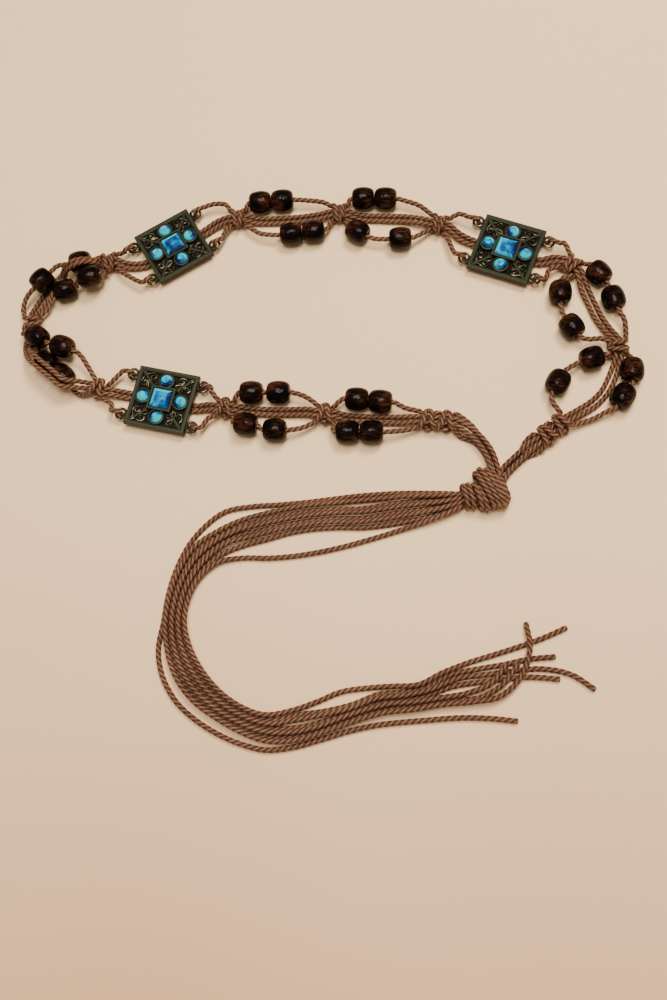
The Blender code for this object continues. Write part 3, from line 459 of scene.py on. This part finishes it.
BELT_CORDS = {"work_cord_1": ("work_outer", WORK_1), "work_cord_2": ("work_inner", WORK_2),
              "filler_cord_1": ("filler_outer", FILLER_1), "filler_cord_2": ("filler_inner", FILLER_2)}
for name, (role, stops) in BELT_CORDS.items():
    points, straight = link_lane(LINK_LEFT, role), set()
    for stop in stops:
        if stop == "cross":
            role = TRADED[role]
        elif isinstance(stop, tuple):
            points.append(place(*stop))
        else:
            passed = passage(stop, role)
            if stop in BEADS:
                if (passed[0] - points[-1]).dot(passed[1] - passed[0]) > 0:
                    straight.add(len(points))
                else:
                    # This bead is so close to the last one that one straight stretch goes through both.
                    points.pop()
                    passed = passed[1:]
            elif stop in PLATES:
                straight.add(len(points) + len(passed) // 2 - 1)
            points += passed
    points += link_lane(LINK_RIGHT, role)
    belt_cord = cord_piece(name + "_laid", [smooth(points, 1.0, straight)], waxed_cord)
    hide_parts(name)

# Tails. Eight free cords come out of the large knot and sweep round in one wide bow to their trimmed ends.
# Every second one lies on its two neighbours where they leave it no room on the table.
CORD_PITCH = 3.05
TAIL_POINTS = 31
# Cuts across the bundle: origin x and y in mm, the outward direction in degrees, then how far out each
# tail lies, the outermost one first.
TAIL_CUTS = [
    (60.2, 0.0, 90, (3.1, 2.2, 1.1, 0.2, -0.9, -1.8, -2.9, -3.8)),
    (48.0, 0.0, 90, (3.3, 1.5, -0.2, -1.9, -3.6, -5.4, -7.2, -9.4)),
    (33.0, 0.0, 90, (3.2, 0.9, -1.2, -3.6, -6.0, -8.4, -11.0, -14.4)),
    (15.0, 0.0, 90, (2.0, -0.8, -4.4, -6.6, -9.2, -11.4, -13.7, -20.3)),
    (-2.0, 0.0, 90, (-0.2, -2.6, -5.2, -7.5, -9.8, -11.9, -14.0, -25.0)),
    (-20.0, 0.0, 90, (-2.6, -5.2, -7.8, -10.3, -12.5, -14.6, -16.8, -28.2)),
    (-40.0, 0.0, 90, (-4.3, -10.4, -12.8, -15.2, -17.4, -19.8, -23.2, -29.3)),
    (-22.0, -62.0, 120, (62.5, 54.8, 52.9, 51.1, 49.3, 47.4, 44.0, 38.0)),
    (-22.0, -62.0, 140, (59.5, 56.4, 54.2, 52.2, 50.2, 48.2, 46.3, 44.4)),
    (-22.0, -62.0, 160, (55.8, 54.2, 52.6, 51.1, 49.6, 48.0, 46.5, 45.0)),
    (-22.0, -62.0, 178, (54.4, 52.9, 51.4, 49.9, 48.4, 46.9, 45.4, 43.9)),
    (-22.0, -62.0, 195, (57.3, 52.0, 50.2, 48.5, 46.7, 45.0, 43.2, 41.5)),
    (-22.0, -62.0, 215, (57.0, 51.0, 49.0, 47.1, 45.2, 43.2, 41.2, 39.3)),
    (-22.0, -62.0, 240, (54.2, 48.4, 46.8, 45.2, 43.6, 42.0, 40.4, 38.8)),
    (-25.0, 0.0, -90, (116.0, 112.2, 110.3, 108.4, 106.5, 104.7, 102.9, 101.0)),
    (-8.0, 0.0, -90, (113.0, 110.6, 108.8, 107.0, 105.2, 101.6, 99.6, 96.2)),
    (8.0, 0.0, -90, (107.6, 104.5, 102.9, 101.3, 99.8, 98.2, 96.6, 89.4)),
    (25.0, 0.0, -90, (103.4, 98.8, 97.1, 95.3, 93.6, 91.8, 90.0, 87.0)),
    (42.0, 0.0, -90, (101.3, 96.2, 94.6, 93.0, 91.3, 89.6, 87.8, 85.6)),
    (58.0, 0.0, -90, (99.5, 93.0, 91.4, 89.8, 85.4, 82.6, 79.8, 76.8)),
]
TAIL_ENDS = [
    [(70.0, -99.2, 1.4), (78.0, -99.6, 1.4), (84.8, -100.1, 1.4)],
    [(71.0, -92.2, 4.1), (80.0, -88.0, 4.3), (86.2, -80.8, 4.3), (89.3, -73.4, 4.6), (90.2, -65.6, 4.9),
     (89.4, -61.0, 3.6), (88.6, -56.8, 1.8)],
    [(69.0, -90.4, 1.6), (76.0, -86.6, 3.4), (81.6, -80.6, 4.5), (85.2, -75.2, 4.3)],
    [(68.4, -87.2, 4.0), (74.0, -83.6, 4.3), (77.8, -79.6, 4.6), (80.4, -75.4, 4.5)],
    [(72.0, -83.2, 1.4), (80.0, -82.0, 1.4), (90.0, -80.9, 1.4), (97.0, -81.0, 1.4), (103.2, -81.5, 1.4)],
    [(72.0, -80.2, 1.4), (80.0, -78.8, 1.4), (90.0, -77.7, 1.4), (98.0, -77.0, 1.4), (105.0, -78.0, 1.4),
     (112.0, -81.6, 1.4), (118.2, -85.6, 1.4)],
    [(72.0, -77.2, 1.4), (80.0, -75.4, 1.4), (88.0, -73.4, 1.4), (95.0, -72.0, 1.4), (101.4, -71.6, 1.4)],
    [(66.0, -74.6, 1.4), (74.0, -71.6, 1.4), (82.0, -68.8, 1.4), (90.0, -66.0, 1.4), (98.0, -62.6, 1.4),
     (106.6, -58.5, 1.4)],
]

tail_lanes = []
for index, tail_end in enumerate(TAIL_ENDS):
    lane = []
    for x, y, outward, reach in TAIL_CUTS:
        dx, dy = turn(reach[index], 0.0, outward)
        lane.append(place(x + dx, y + dy, ON_TABLE))
    tail_lanes.append(smooth(lane + [place(*point) for point in tail_end], 2.0))
for index, lane in enumerate(tail_lanes):
    route = lane
    if index % 2:
        route = []
        for point in lane:
            near = CORD_PITCH
            for side in tail_lanes[max(index - 1, 0):index + 2:2]:
                for a, b in zip(side, side[1:]):
                    if (a.xy - point.xy).length < 3 * CORD_PITCH:
                        foot = intersect_point_line(point.xy, a.xy, b.xy)
                        spot = a.xy.lerp(b.xy, min(1.0, max(0.0, foot[1])))
                        near = min(near, (point.xy - spot).length)
            lift = math.sqrt(CORD_PITCH**2 - near**2)
            route.append(Vector((point.x, point.y, max(point.z, ON_TABLE + lift))))
    steps, tail_length = even_steps(route, 1.0)
    steps = [Vector(p) for p in steps[np.linspace(0, len(steps) - 1, TAIL_POINTS).round().astype(int)]]
    path = smooth(steps, 1.0)
    name = "tail_%d" % (index + 1)
    tail = cord_piece(name + "_cord", [path], waxed_cord)
    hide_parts(name)

# Large knot. The four cords of both ends are doubled back and tied round themselves in one large knot: five
# strands make an ear that slants over it from the top left, and four more wrap the neck in two pairs where
# the tails leave. Each row is one strand's turn round the bundle: the x and y of its middle and the heading
# of its way across, then half its length and half its height.
KNOT_TURNS = [
    (61.5, 0.8, -75, 5.2, 3.3), (63.9, 1.0, -73, 5.5, 3.5),
    (67.3, 0.6, -70, 5.9, 3.7), (69.5, 0.2, -67, 6.0, 3.6),
    (70.2, 3.6, -61, 9.0, 4.5), (72.3, 4.6, -62, 9.8, 4.7), (74.8, 4.6, -63, 9.4, 4.6),
    (77.1, 4.6, -65, 7.9, 4.1), (79.0, 4.5, -66, 5.4, 3.3),
]
KNOT_SQUARENESS = 0.8     # 1 makes a turn an ellipse, less makes it flatter on the table and on top
KNOT_LEAN = 0.8           # the top of a turn lies this far ahead of its bottom
KNOT_RING = 24            # points in one turn
turns = []
for x, y, heading, half_length, half_height in KNOT_TURNS:
    ring = []
    for k in range(KNOT_RING):
        c, s = math.cos(math.tau * k / KNOT_RING), math.sin(math.tau * k / KNOT_RING)
        along = math.copysign(abs(c) ** KNOT_SQUARENESS, c) * half_length
        up = math.copysign(abs(s) ** KNOT_SQUARENESS, s)
        dx, dy = turn(along, up * KNOT_LEAN / 2, heading)
        ring.append(place(x + dx, y + dy, ON_TABLE + half_height * (1 + up)))
    turns.append(smooth(ring + ring[:3], 0.6)[1:])
# The strands inside: x, y and z along each. They show where the turns leave gaps.
KNOT_CORE = [
    [(59.4, 2.0, 2.0), (66.0, 3.0, 3.0), (73.0, 6.0, 3.4), (78.0, 10.0, 3.0)],
    [(59.4, -0.6, 2.0), (66.0, 0.4, 3.0), (73.0, 3.0, 3.4), (78.6, 6.6, 3.0)],
    [(59.4, -3.0, 2.0), (66.0, -2.0, 3.0), (73.0, 0.0, 3.4), (78.0, 3.0, 3.2)],
    [(59.8, 1.2, 4.6), (66.0, 1.8, 5.6), (73.0, 4.6, 6.6), (77.6, 8.6, 5.4)],
    [(59.8, -1.4, 4.6), (66.0, -0.8, 5.4), (73.0, 1.6, 6.6), (78.0, 5.0, 5.6)],
    [(66.0, 6.6, 3.0), (69.0, 9.4, 5.0), (72.0, 11.6, 5.4), (75.0, 13.0, 3.6)],
]
large_knot = cord_piece("large_knot_tied", turns, waxed_cord, closed=True)
knot_core = cord_piece("large_knot_core", [smooth([place(*p) for p in line], 0.7) for line in KNOT_CORE],
                       waxed_cord)
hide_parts("large_knot")
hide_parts("large_knot")

# Beads. Thirty-two barrel beads of dark hardwood, turned, drilled and dipped in thick clear lacquer. Near
# black in the grain and red-brown between, with a wet gloss. Two of them sit on each working cord of a group.
BEAD_SEGMENTS = 32
# Half of the outside from the hole outwards and then along the barrel: radius and distance from the middle.
BEAD_PROFILE = [(1.75, 5.0), (1.9, 5.35), (2.3, 5.55), (3.3, 5.5), (4.1, 5.15), (4.75, 4.45), (5.2, 3.4),
                (5.5, 2.15), (5.65, 0.75)]

lacquered_wood, wood_in = new_material("lacquered_wood", "#1B0B07", Roughness=0.45, Coat_Weight=0.4,
                                       Coat_Roughness=0.07, Coat_IOR=1.3, Specular_IOR_Level=0.02)
wood_place = add_node(lacquered_wood, "ShaderNodeTexCoord").outputs["Object"]
# Grain lines about 1 mm apart, which is as fine as the render shows, and stain that differs between beads.
wood_grain = add_node(lacquered_wood, "ShaderNodeTexNoise",
                      {"Vector": add_node(lacquered_wood, "ShaderNodeMapping",
                                          {"Vector": wood_place, "Scale": (260.0, 900.0, 900.0)}).outputs[0],
                       "Scale": 1.0, "Detail": 3.0})
wood_stain = add_node(lacquered_wood, "ShaderNodeTexNoise",
                      {"Vector": wood_place, "Scale": 130.0, "Detail": 1.0})
wood_depth = add_node(lacquered_wood, "ShaderNodeMath",
                      {0: wood_grain.outputs["Fac"], 1: wood_stain.outputs["Fac"]}, operation="MULTIPLY")
wood_tone = add_node(lacquered_wood, "ShaderNodeValToRGB", {"Fac": wood_depth.outputs[0]},
                     [(0.18, "#060202"), (0.28, "#170904"), (0.4, "#3C1D10")])
lacquered_wood.node_tree.links.new(wood_tone.outputs["Color"], wood_in["Base Color"])
# The lacquer has dried in shallow dents about 2 mm wide, which break up what it mirrors.
wood_dents = add_node(lacquered_wood, "ShaderNodeTexNoise",
                      {"Vector": wood_place, "Scale": 480.0, "Detail": 1.5})
wood_bump = add_node(lacquered_wood, "ShaderNodeBump",
                     {"Height": wood_dents.outputs["Fac"], "Strength": 0.8, "Distance": 0.0004})
lacquered_wood.node_tree.links.new(wood_bump.outputs["Normal"], wood_in["Coat Normal"])

bpy.ops.object.select_all(action="DESELECT")
bpy.ops.mesh.primitive_circle_add(vertices=BEAD_SEGMENTS, radius=BEAD_PROFILE[0][0] * MM,
                                  location=(0, 0, -BEAD_PROFILE[0][1] * MM))
turned_bead = bpy.context.object
bpy.ops.object.transform_apply(location=True)
bpy.ops.object.mode_set(mode="EDIT")
bpy.ops.mesh.select_all(action="SELECT")
outside = [(r, -z) for r, z in BEAD_PROFILE] + [(r, z) for r, z in reversed(BEAD_PROFILE)]
for (r0, z0), (r1, z1) in zip(outside, outside[1:]):
    bpy.ops.mesh.extrude_edges_move(TRANSFORM_OT_translate={"value": (0, 0, (z1 - z0) * MM)})
    bpy.ops.transform.resize(value=(r1 / r0, r1 / r0, 1.0))
bpy.ops.mesh.select_all(action="DESELECT")
bpy.ops.mesh.select_mode(type="EDGE")
bpy.ops.mesh.select_non_manifold()
bpy.ops.mesh.bridge_edge_loops()
bpy.ops.mesh.select_all(action="SELECT")
bpy.ops.mesh.normals_make_consistent(inside=False)
bpy.ops.object.mode_set(mode="OBJECT")
bpy.ops.object.shade_smooth()
turned_bead.data.transform(Matrix.Rotation(math.radians(90), 4, "Y"))
turned_bead.data.materials.append(lacquered_wood)
for name, (x, y, z, heading) in BEADS.items():
    bead = bpy.data.objects.new("bead_%s_turned" % name, turned_bead.data.copy())
    bpy.context.scene.collection.objects.link(bead)
    bead.data.transform(Matrix.Translation(place(x, y, z) * MM)
                        @ Matrix.Rotation(math.radians(heading), 4, "Z"))
    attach(bead, "root")
    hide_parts("bead_" + name)
bpy.data.objects.remove(turned_bead)

# Plates. Three square cast plates of brass with an aged, green-brown bronze finish: a flat raised border,
# diagonal ribs, two wire scrolls on both sides of each rib, a square collet and four round cups for the
# stones, and four ring lugs for the working cords. The scrolls and the rings are rubbed back to the brass.
PLATE_BACK = 3.1          # height of the plate's flat back over the table
PLATE_BODY = (31.0, 2.3)          # side of the square and height of its outer edge
PLATE_WELL = 1.3
RAISED_FROM = 1.0                 # ribs, collet and cups start this far up, inside the plate
# The border from the outside in: width of each step and its rise.
BORDER_STEPS = [(0.35, 0.3), (1.25, 0.0), (0.2, -0.35), (0.35, 0.0), (0.15, -0.9)]
RIB = (1.4, 2.1, 13.0, 37.5)      # width, top, and the diagonal's length before and after the collet
COLLET = (12.4, 3.9, 0.75)        # side, top and wall
CUP_OFFSET = 9.6
CUP = (4.05, 3.25, 0.55)          # radius, top and wall
LUG_RING = (2.55, 0.72, 1.0)      # radius of the ring's middle and of its wire, and its height
LUG_NECK = (15.75, 1.5, 3.4, 0.35, 1.65)      # distance out, length, width, bottom and top
SCROLL_WIRE = 0.4
SCROLL_HEIGHT = 1.85
# The two scrolls on one side of a rib, with the corner at the upper right: x and y from the plate's middle.
SCROLL = [(12.4, 12.9), (10.6, 11.9), (8.9, 12.6), (7.2, 12.7), (5.9, 11.7), (6.1, 10.3), (7.4, 9.7),
          (8.5, 10.4), (8.3, 11.4), (7.4, 11.5)]
SCROLL_SMALL = [(8.5, 9.2), (7.0, 9.0), (5.5, 8.7), (4.9, 7.7), (5.6, 7.0), (6.4, 7.6)]

aged_bronze, bronze_in = new_material("aged_bronze", "#4B4630", Metallic=0.7, Roughness=0.5)
bronze_place = add_node(aged_bronze, "ShaderNodeTexCoord").outputs["Object"]
bronze_height = add_node(aged_bronze, "ShaderNodeSeparateXYZ", {"Vector": bronze_place}).outputs["Z"]
# The patina lies thick and dark in the wells, and thins out over the last millimetre to the border.
bronze_worn = add_node(aged_bronze, "ShaderNodeMapRange",
                       {"Value": bronze_height, "From Min": (PLATE_BACK + PLATE_WELL) * MM,
                        "From Max": (PLATE_BACK + 2.35) * MM})
bronze_cloud = add_node(aged_bronze, "ShaderNodeTexNoise",
                        {"Vector": bronze_place, "Scale": 380.0, "Detail": 4.0})
bronze_mix = add_node(aged_bronze, "ShaderNodeMath",
                      {0: bronze_cloud.outputs["Fac"], 1: 0.55, 2: -0.27}, operation="MULTIPLY_ADD")
bronze_level = add_node(aged_bronze, "ShaderNodeMath",
                        {0: bronze_worn.outputs[0], 1: bronze_mix.outputs[0]}, operation="ADD")
bronze_tone = add_node(aged_bronze, "ShaderNodeValToRGB", {"Fac": bronze_level.outputs[0]},
                       [(0.05, "#0E0B06"), (0.55, "#2B2B1D"), (1.0, "#3D3E2D")])
aged_bronze.node_tree.links.new(bronze_tone.outputs["Color"], bronze_in["Base Color"])
bronze_pits = add_node(aged_bronze, "ShaderNodeBump",
                       {"Height": bronze_cloud.outputs["Fac"], "Strength": 0.35, "Distance": 0.0002})
aged_bronze.node_tree.links.new(bronze_pits.outputs["Normal"], bronze_in["Normal"])

rubbed_brass, rubbed_in = new_material("rubbed_brass", "#94835A", Metallic=0.9, Roughness=0.38)
rubbed_place = add_node(rubbed_brass, "ShaderNodeTexCoord").outputs["Object"]
rubbed_cloud = add_node(rubbed_brass, "ShaderNodeTexNoise",
                        {"Vector": rubbed_place, "Scale": 420.0, "Detail": 3.0})
rubbed_tone = add_node(rubbed_brass, "ShaderNodeValToRGB", {"Fac": rubbed_cloud.outputs["Fac"]},
                       [(0.4, "#292A1C"), (0.52, "#4B4935"), (0.64, "#A79C7A")])
rubbed_brass.node_tree.links.new(rubbed_tone.outputs["Color"], rubbed_in["Base Color"])


def choose_faces(obj, wanted):
    """Select the faces of an object in edit mode whose centre and normal pass a test."""
    bpy.ops.mesh.select_mode(type="FACE")
    bpy.ops.mesh.select_all(action="DESELECT")
    edited = bmesh.from_edit_mesh(obj.data)
    for face in edited.faces:
        face.select = wanted(face.calc_center_median(), face.normal)
    bmesh.update_edit_mesh(obj.data)


def sunk_block(size, bottom, top, steps, heading=0.0, at=(0.0, 0.0), rounded=0.0):
    """A block between two heights whose top is inset and raised or sunk in steps, all in mm."""
    bpy.ops.object.select_all(action="DESELECT")
    bpy.ops.mesh.primitive_cube_add(size=1.0, location=(at[0] * MM, at[1] * MM, (bottom + top) / 2 * MM),
                                    rotation=(0, 0, math.radians(heading)),
                                    scale=(size[0] * MM, size[1] * MM, (top - bottom) * MM))
    block = bpy.context.object
    bpy.ops.object.transform_apply(location=True, rotation=True, scale=True)
    bpy.ops.object.mode_set(mode="EDIT")
    choose_faces(block, lambda centre, normal: normal.z > 0.9)
    for width, rise in steps:
        bpy.ops.mesh.inset(thickness=width * MM, use_even_offset=True)
        bpy.ops.transform.translate(value=(0, 0, rise * MM))
    bpy.ops.object.mode_set(mode="OBJECT")
    if rounded:
        bevel = block.modifiers.new("edges", "BEVEL")
        bevel.width = rounded * MM
        bevel.segments = 2
        bpy.ops.object.modifier_apply(modifier=bevel.name)
    return block


plate_side, edge_top = PLATE_BODY
plate_parts = [sunk_block((plate_side, plate_side), 0.0, edge_top, BORDER_STEPS, rounded=0.12)]
for heading in (45, 135):
    for way in (-1, 1):
        reach = (RIB[2] + RIB[3]) / 4 * way
        at = turn(reach, 0.0, heading)
        rib_size = ((RIB[3] - RIB[2]) / 2, RIB[0])
        plate_parts.append(sunk_block(rib_size, RAISED_FROM, RIB[1], [(0.3, 0.12)], heading, at, 0.15))
plate_parts.append(sunk_block((COLLET[0], COLLET[0]), RAISED_FROM, COLLET[1],
                              [(0.15, 0.12), (COLLET[2], 0.0), (0.1, -1.1)], rounded=0.08))
for k in range(4):
    x, y = turn(CUP_OFFSET, 0.0, 90 * k)
    bpy.ops.object.select_all(action="DESELECT")
    bpy.ops.mesh.primitive_cylinder_add(vertices=32, radius=CUP[0] * MM, depth=(CUP[1] - RAISED_FROM) * MM,
                                        location=(x * MM, y * MM, (CUP[1] + RAISED_FROM) / 2 * MM))
    cup = bpy.context.object
    bpy.ops.object.transform_apply(location=True)
    bpy.ops.object.mode_set(mode="EDIT")
    choose_faces(cup, lambda centre, normal: normal.z > 0.9)
    for width, rise in ((0.12, 0.1), (CUP[2], 0.0), (0.1, -0.9)):
        bpy.ops.mesh.inset(thickness=width * MM)
        bpy.ops.transform.translate(value=(0, 0, rise * MM))
    bpy.ops.object.mode_set(mode="OBJECT")
    bpy.ops.object.shade_smooth_by_angle(angle=math.radians(40))
    plate_parts.append(cup)
lug_rings = []
neck_out, neck_length, neck_width, neck_bottom, neck_top = LUG_NECK
for side, row in ((-1, -1), (-1, 1), (1, -1), (1, 1)):
    x, y = side * LUG_HOLE, row * LUG_OFFSET
    bpy.ops.object.select_all(action="DESELECT")
    bpy.ops.mesh.primitive_torus_add(location=(x * MM, y * MM, LUG_RING[2] * MM), major_segments=32,
                                     major_radius=LUG_RING[0] * MM, minor_segments=10,
                                     minor_radius=LUG_RING[1] * MM)
    bpy.ops.object.transform_apply(location=True)
    bpy.ops.object.shade_smooth()
    lug_rings.append(bpy.context.object)
    plate_parts.append(sunk_block((neck_length, neck_width), neck_bottom, neck_top, [(0.2, 0.1)], 0.0,
                                  (side * neck_out, y), 0.15))


def scroll_wire(points):
    """Round wire laid on the well's floor through points in mm, as a mesh."""
    line = smooth([Vector((x, y, SCROLL_HEIGHT)) for x, y in points], 0.5)
    curve = bpy.data.curves.new("scroll", "CURVE")
    curve.dimensions = "3D"
    curve.bevel_depth = SCROLL_WIRE * MM
    curve.bevel_resolution = 2
    curve.use_fill_caps = True
    spline = curve.splines.new("POLY")
    spline.points.add(len(line) - 1)
    for target, point in zip(spline.points, line):
        target.co = (*(point * MM), 1.0)
    wire = bpy.data.objects.new("scroll", curve)
    bpy.context.scene.collection.objects.link(wire)
    bpy.ops.object.select_all(action="DESELECT")
    wire.select_set(True)
    bpy.context.view_layer.objects.active = wire
    bpy.ops.object.convert(target="MESH")
    bpy.ops.object.shade_smooth()
    return bpy.context.object


wires = []
for quarter in range(4):
    for points in (SCROLL, [(y, x) for x, y in SCROLL], SCROLL_SMALL, [(y, x) for x, y in SCROLL_SMALL]):
        wires.append(scroll_wire([turn(x, y, 90 * quarter) for x, y in points]))
for piece in plate_parts:
    piece.data.materials.append(aged_bronze)
for piece in wires + lug_rings:
    piece.data.materials.clear()
    piece.data.materials.append(rubbed_brass)
bpy.ops.object.select_all(action="DESELECT")
for piece in plate_parts + wires + lug_rings:
    piece.select_set(True)
bpy.context.view_layer.objects.active = plate_parts[0]
bpy.ops.object.join()
cast_plate = bpy.context.object
for name, (x, y, heading) in PLATES.items():
    plate = bpy.data.objects.new(name + "_cast", cast_plate.data.copy())
    bpy.context.scene.collection.objects.link(plate)
    plate.data.transform(Matrix.Translation(place(x, y, PLATE_BACK) * MM)
                         @ Matrix.Rotation(math.radians(heading), 4, "Z"))
    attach(plate, "root")
    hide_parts(name)
bpy.data.objects.remove(cast_plate)

# Stones. Each plate holds one square step-cut stone and four round ones, of turquoise-blue glass with foil
# behind it. Every facet is painted its own blue, a painted reflection of the foil that is lighter on one
# side of the stone and darker on the other, and the gloss is glassy.
painted_facet_glass, glass_in = new_material("turquoise_glass", "#0A8FD6", Roughness=0.15, Coat_Weight=0.3,
                                      Coat_Roughness=0.05, IOR=1.52)
# Painted reflection: the facet attribute makes the facets on one side light cyan and the rest deep blue, as
# light thrown back by the foil.
facet_painted_light = add_node(painted_facet_glass, "ShaderNodeAttribute", attribute_name="facet").outputs["Fac"]
glass_place = add_node(painted_facet_glass, "ShaderNodeTexCoord").outputs["Object"]
glass_depth = add_node(painted_facet_glass, "ShaderNodeTexNoise",
                       {"Vector": glass_place, "Scale": 330.0, "Detail": 1.0})
glass_offset = add_node(painted_facet_glass, "ShaderNodeMath",
                        {0: glass_depth.outputs["Fac"], 1: 0.9, 2: -0.45}, operation="MULTIPLY_ADD")
glass_level = add_node(painted_facet_glass, "ShaderNodeMath", {0: facet_painted_light, 1: glass_offset.outputs[0]},
                       operation="ADD")
glass_tone = add_node(painted_facet_glass, "ShaderNodeValToRGB", {"Fac": glass_level.outputs[0]},
                      [(0.1, "#001446"), (0.38, "#0062A0"), (0.64, "#00B8C4")])
painted_facet_glass.node_tree.links.new(glass_tone.outputs["Color"], glass_in["Base Color"])


def cut_stone(corners, radius, girdle, steps, turn_by):
    """A stone with a straight girdle and rings of facets: each step gives the next ring's size and height."""
    bpy.ops.object.select_all(action="DESELECT")
    bpy.ops.mesh.primitive_circle_add(vertices=corners, radius=radius * MM, fill_type="NGON")
    stone = bpy.context.object
    bpy.ops.object.mode_set(mode="EDIT")
    bpy.ops.mesh.select_all(action="SELECT")
    bpy.ops.mesh.extrude_region_move(TRANSFORM_OT_translate={"value": (0, 0, girdle * MM)})
    size, height = 1.0, girdle
    for next_size, next_height in steps:
        step = (0, 0, (next_height - height) * MM)
        bpy.ops.mesh.extrude_region_move(TRANSFORM_OT_translate={"value": step})
        bpy.ops.transform.resize(value=(next_size / size, next_size / size, 1.0))
        if turn_by:
            bpy.ops.transform.rotate(value=math.radians(turn_by), orient_axis="Z", center_override=(0, 0, 0))
        size, height = next_size, next_height
    bpy.ops.mesh.select_all(action="SELECT")
    bpy.ops.mesh.normals_make_consistent(inside=False)
    if turn_by:
        bpy.ops.mesh.quads_convert_to_tris()
    bpy.ops.object.mode_set(mode="OBJECT")
    return stone


def paint_facet_light(mesh, lean, flat_painted_light):
    """Give each facet a share of painted foil reflection, brightest on the side of the given heading."""
    shares = []
    for face in mesh.polygons:
        way = math.degrees(math.atan2(face.normal.y, face.normal.x))
        flat = face.normal.z > 0.98
        shares.append(flat_painted_light if flat else 0.45 + 0.42 * math.cos(math.radians(way - lean)))
    mesh.attributes.new("facet", "FLOAT", "FACE").data.foreach_set("value", shares)


# Radius or half side, height of the girdle, and how high over the plate's back the stone sits in its setting.
ROUND_STONE = (3.1, 0.55, 2.7)
SQUARE_STONE = (4.75, 0.5, 3.0)
ROUND_STEPS = [(0.86, 1.2), (0.52, 2.0)]
SQUARE_STEPS = [(0.88, 1.15), (0.66, 1.75)]
round_stone = cut_stone(12, ROUND_STONE[0], ROUND_STONE[1], ROUND_STEPS, 15)
square_stone = cut_stone(4, SQUARE_STONE[0] * math.sqrt(2), SQUARE_STONE[1], SQUARE_STEPS, 0)
square_stone.data.transform(Matrix.Rotation(math.radians(45), 4, "Z"))
for plate_index, (name, (x, y, heading)) in enumerate(PLATES.items()):
    for k in range(4):
        dx, dy = turn(CUP_OFFSET, 0.0, heading + 90 * k)
        stone = bpy.data.objects.new("%s_round_%d" % (name, k + 1), round_stone.data.copy())
        bpy.context.scene.collection.objects.link(stone)
        stone.data.transform(Matrix.Translation(place(x + dx, y + dy, PLATE_BACK + ROUND_STONE[2]) * MM))
        paint_facet_light(stone.data, 200 + 70 * k + 40 * plate_index, 0.55)
        stone.data.materials.append(painted_facet_glass)
        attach(stone, "root")
        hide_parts("%s_stone_%d" % (name, k + 1))
    middle = bpy.data.objects.new(name + "_square", square_stone.data.copy())
    bpy.context.scene.collection.objects.link(middle)
    middle.data.transform(Matrix.Translation(place(x, y, PLATE_BACK + SQUARE_STONE[2]) * MM)
                          @ Matrix.Rotation(math.radians(heading), 4, "Z"))
    paint_facet_light(middle.data, 125 + 20 * plate_index, 0.3)
    middle.data.materials.append(painted_facet_glass)
    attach(middle, "root")
bpy.data.objects.remove(round_stone)
bpy.data.objects.remove(square_stone)

bpy.context.view_layer.update()
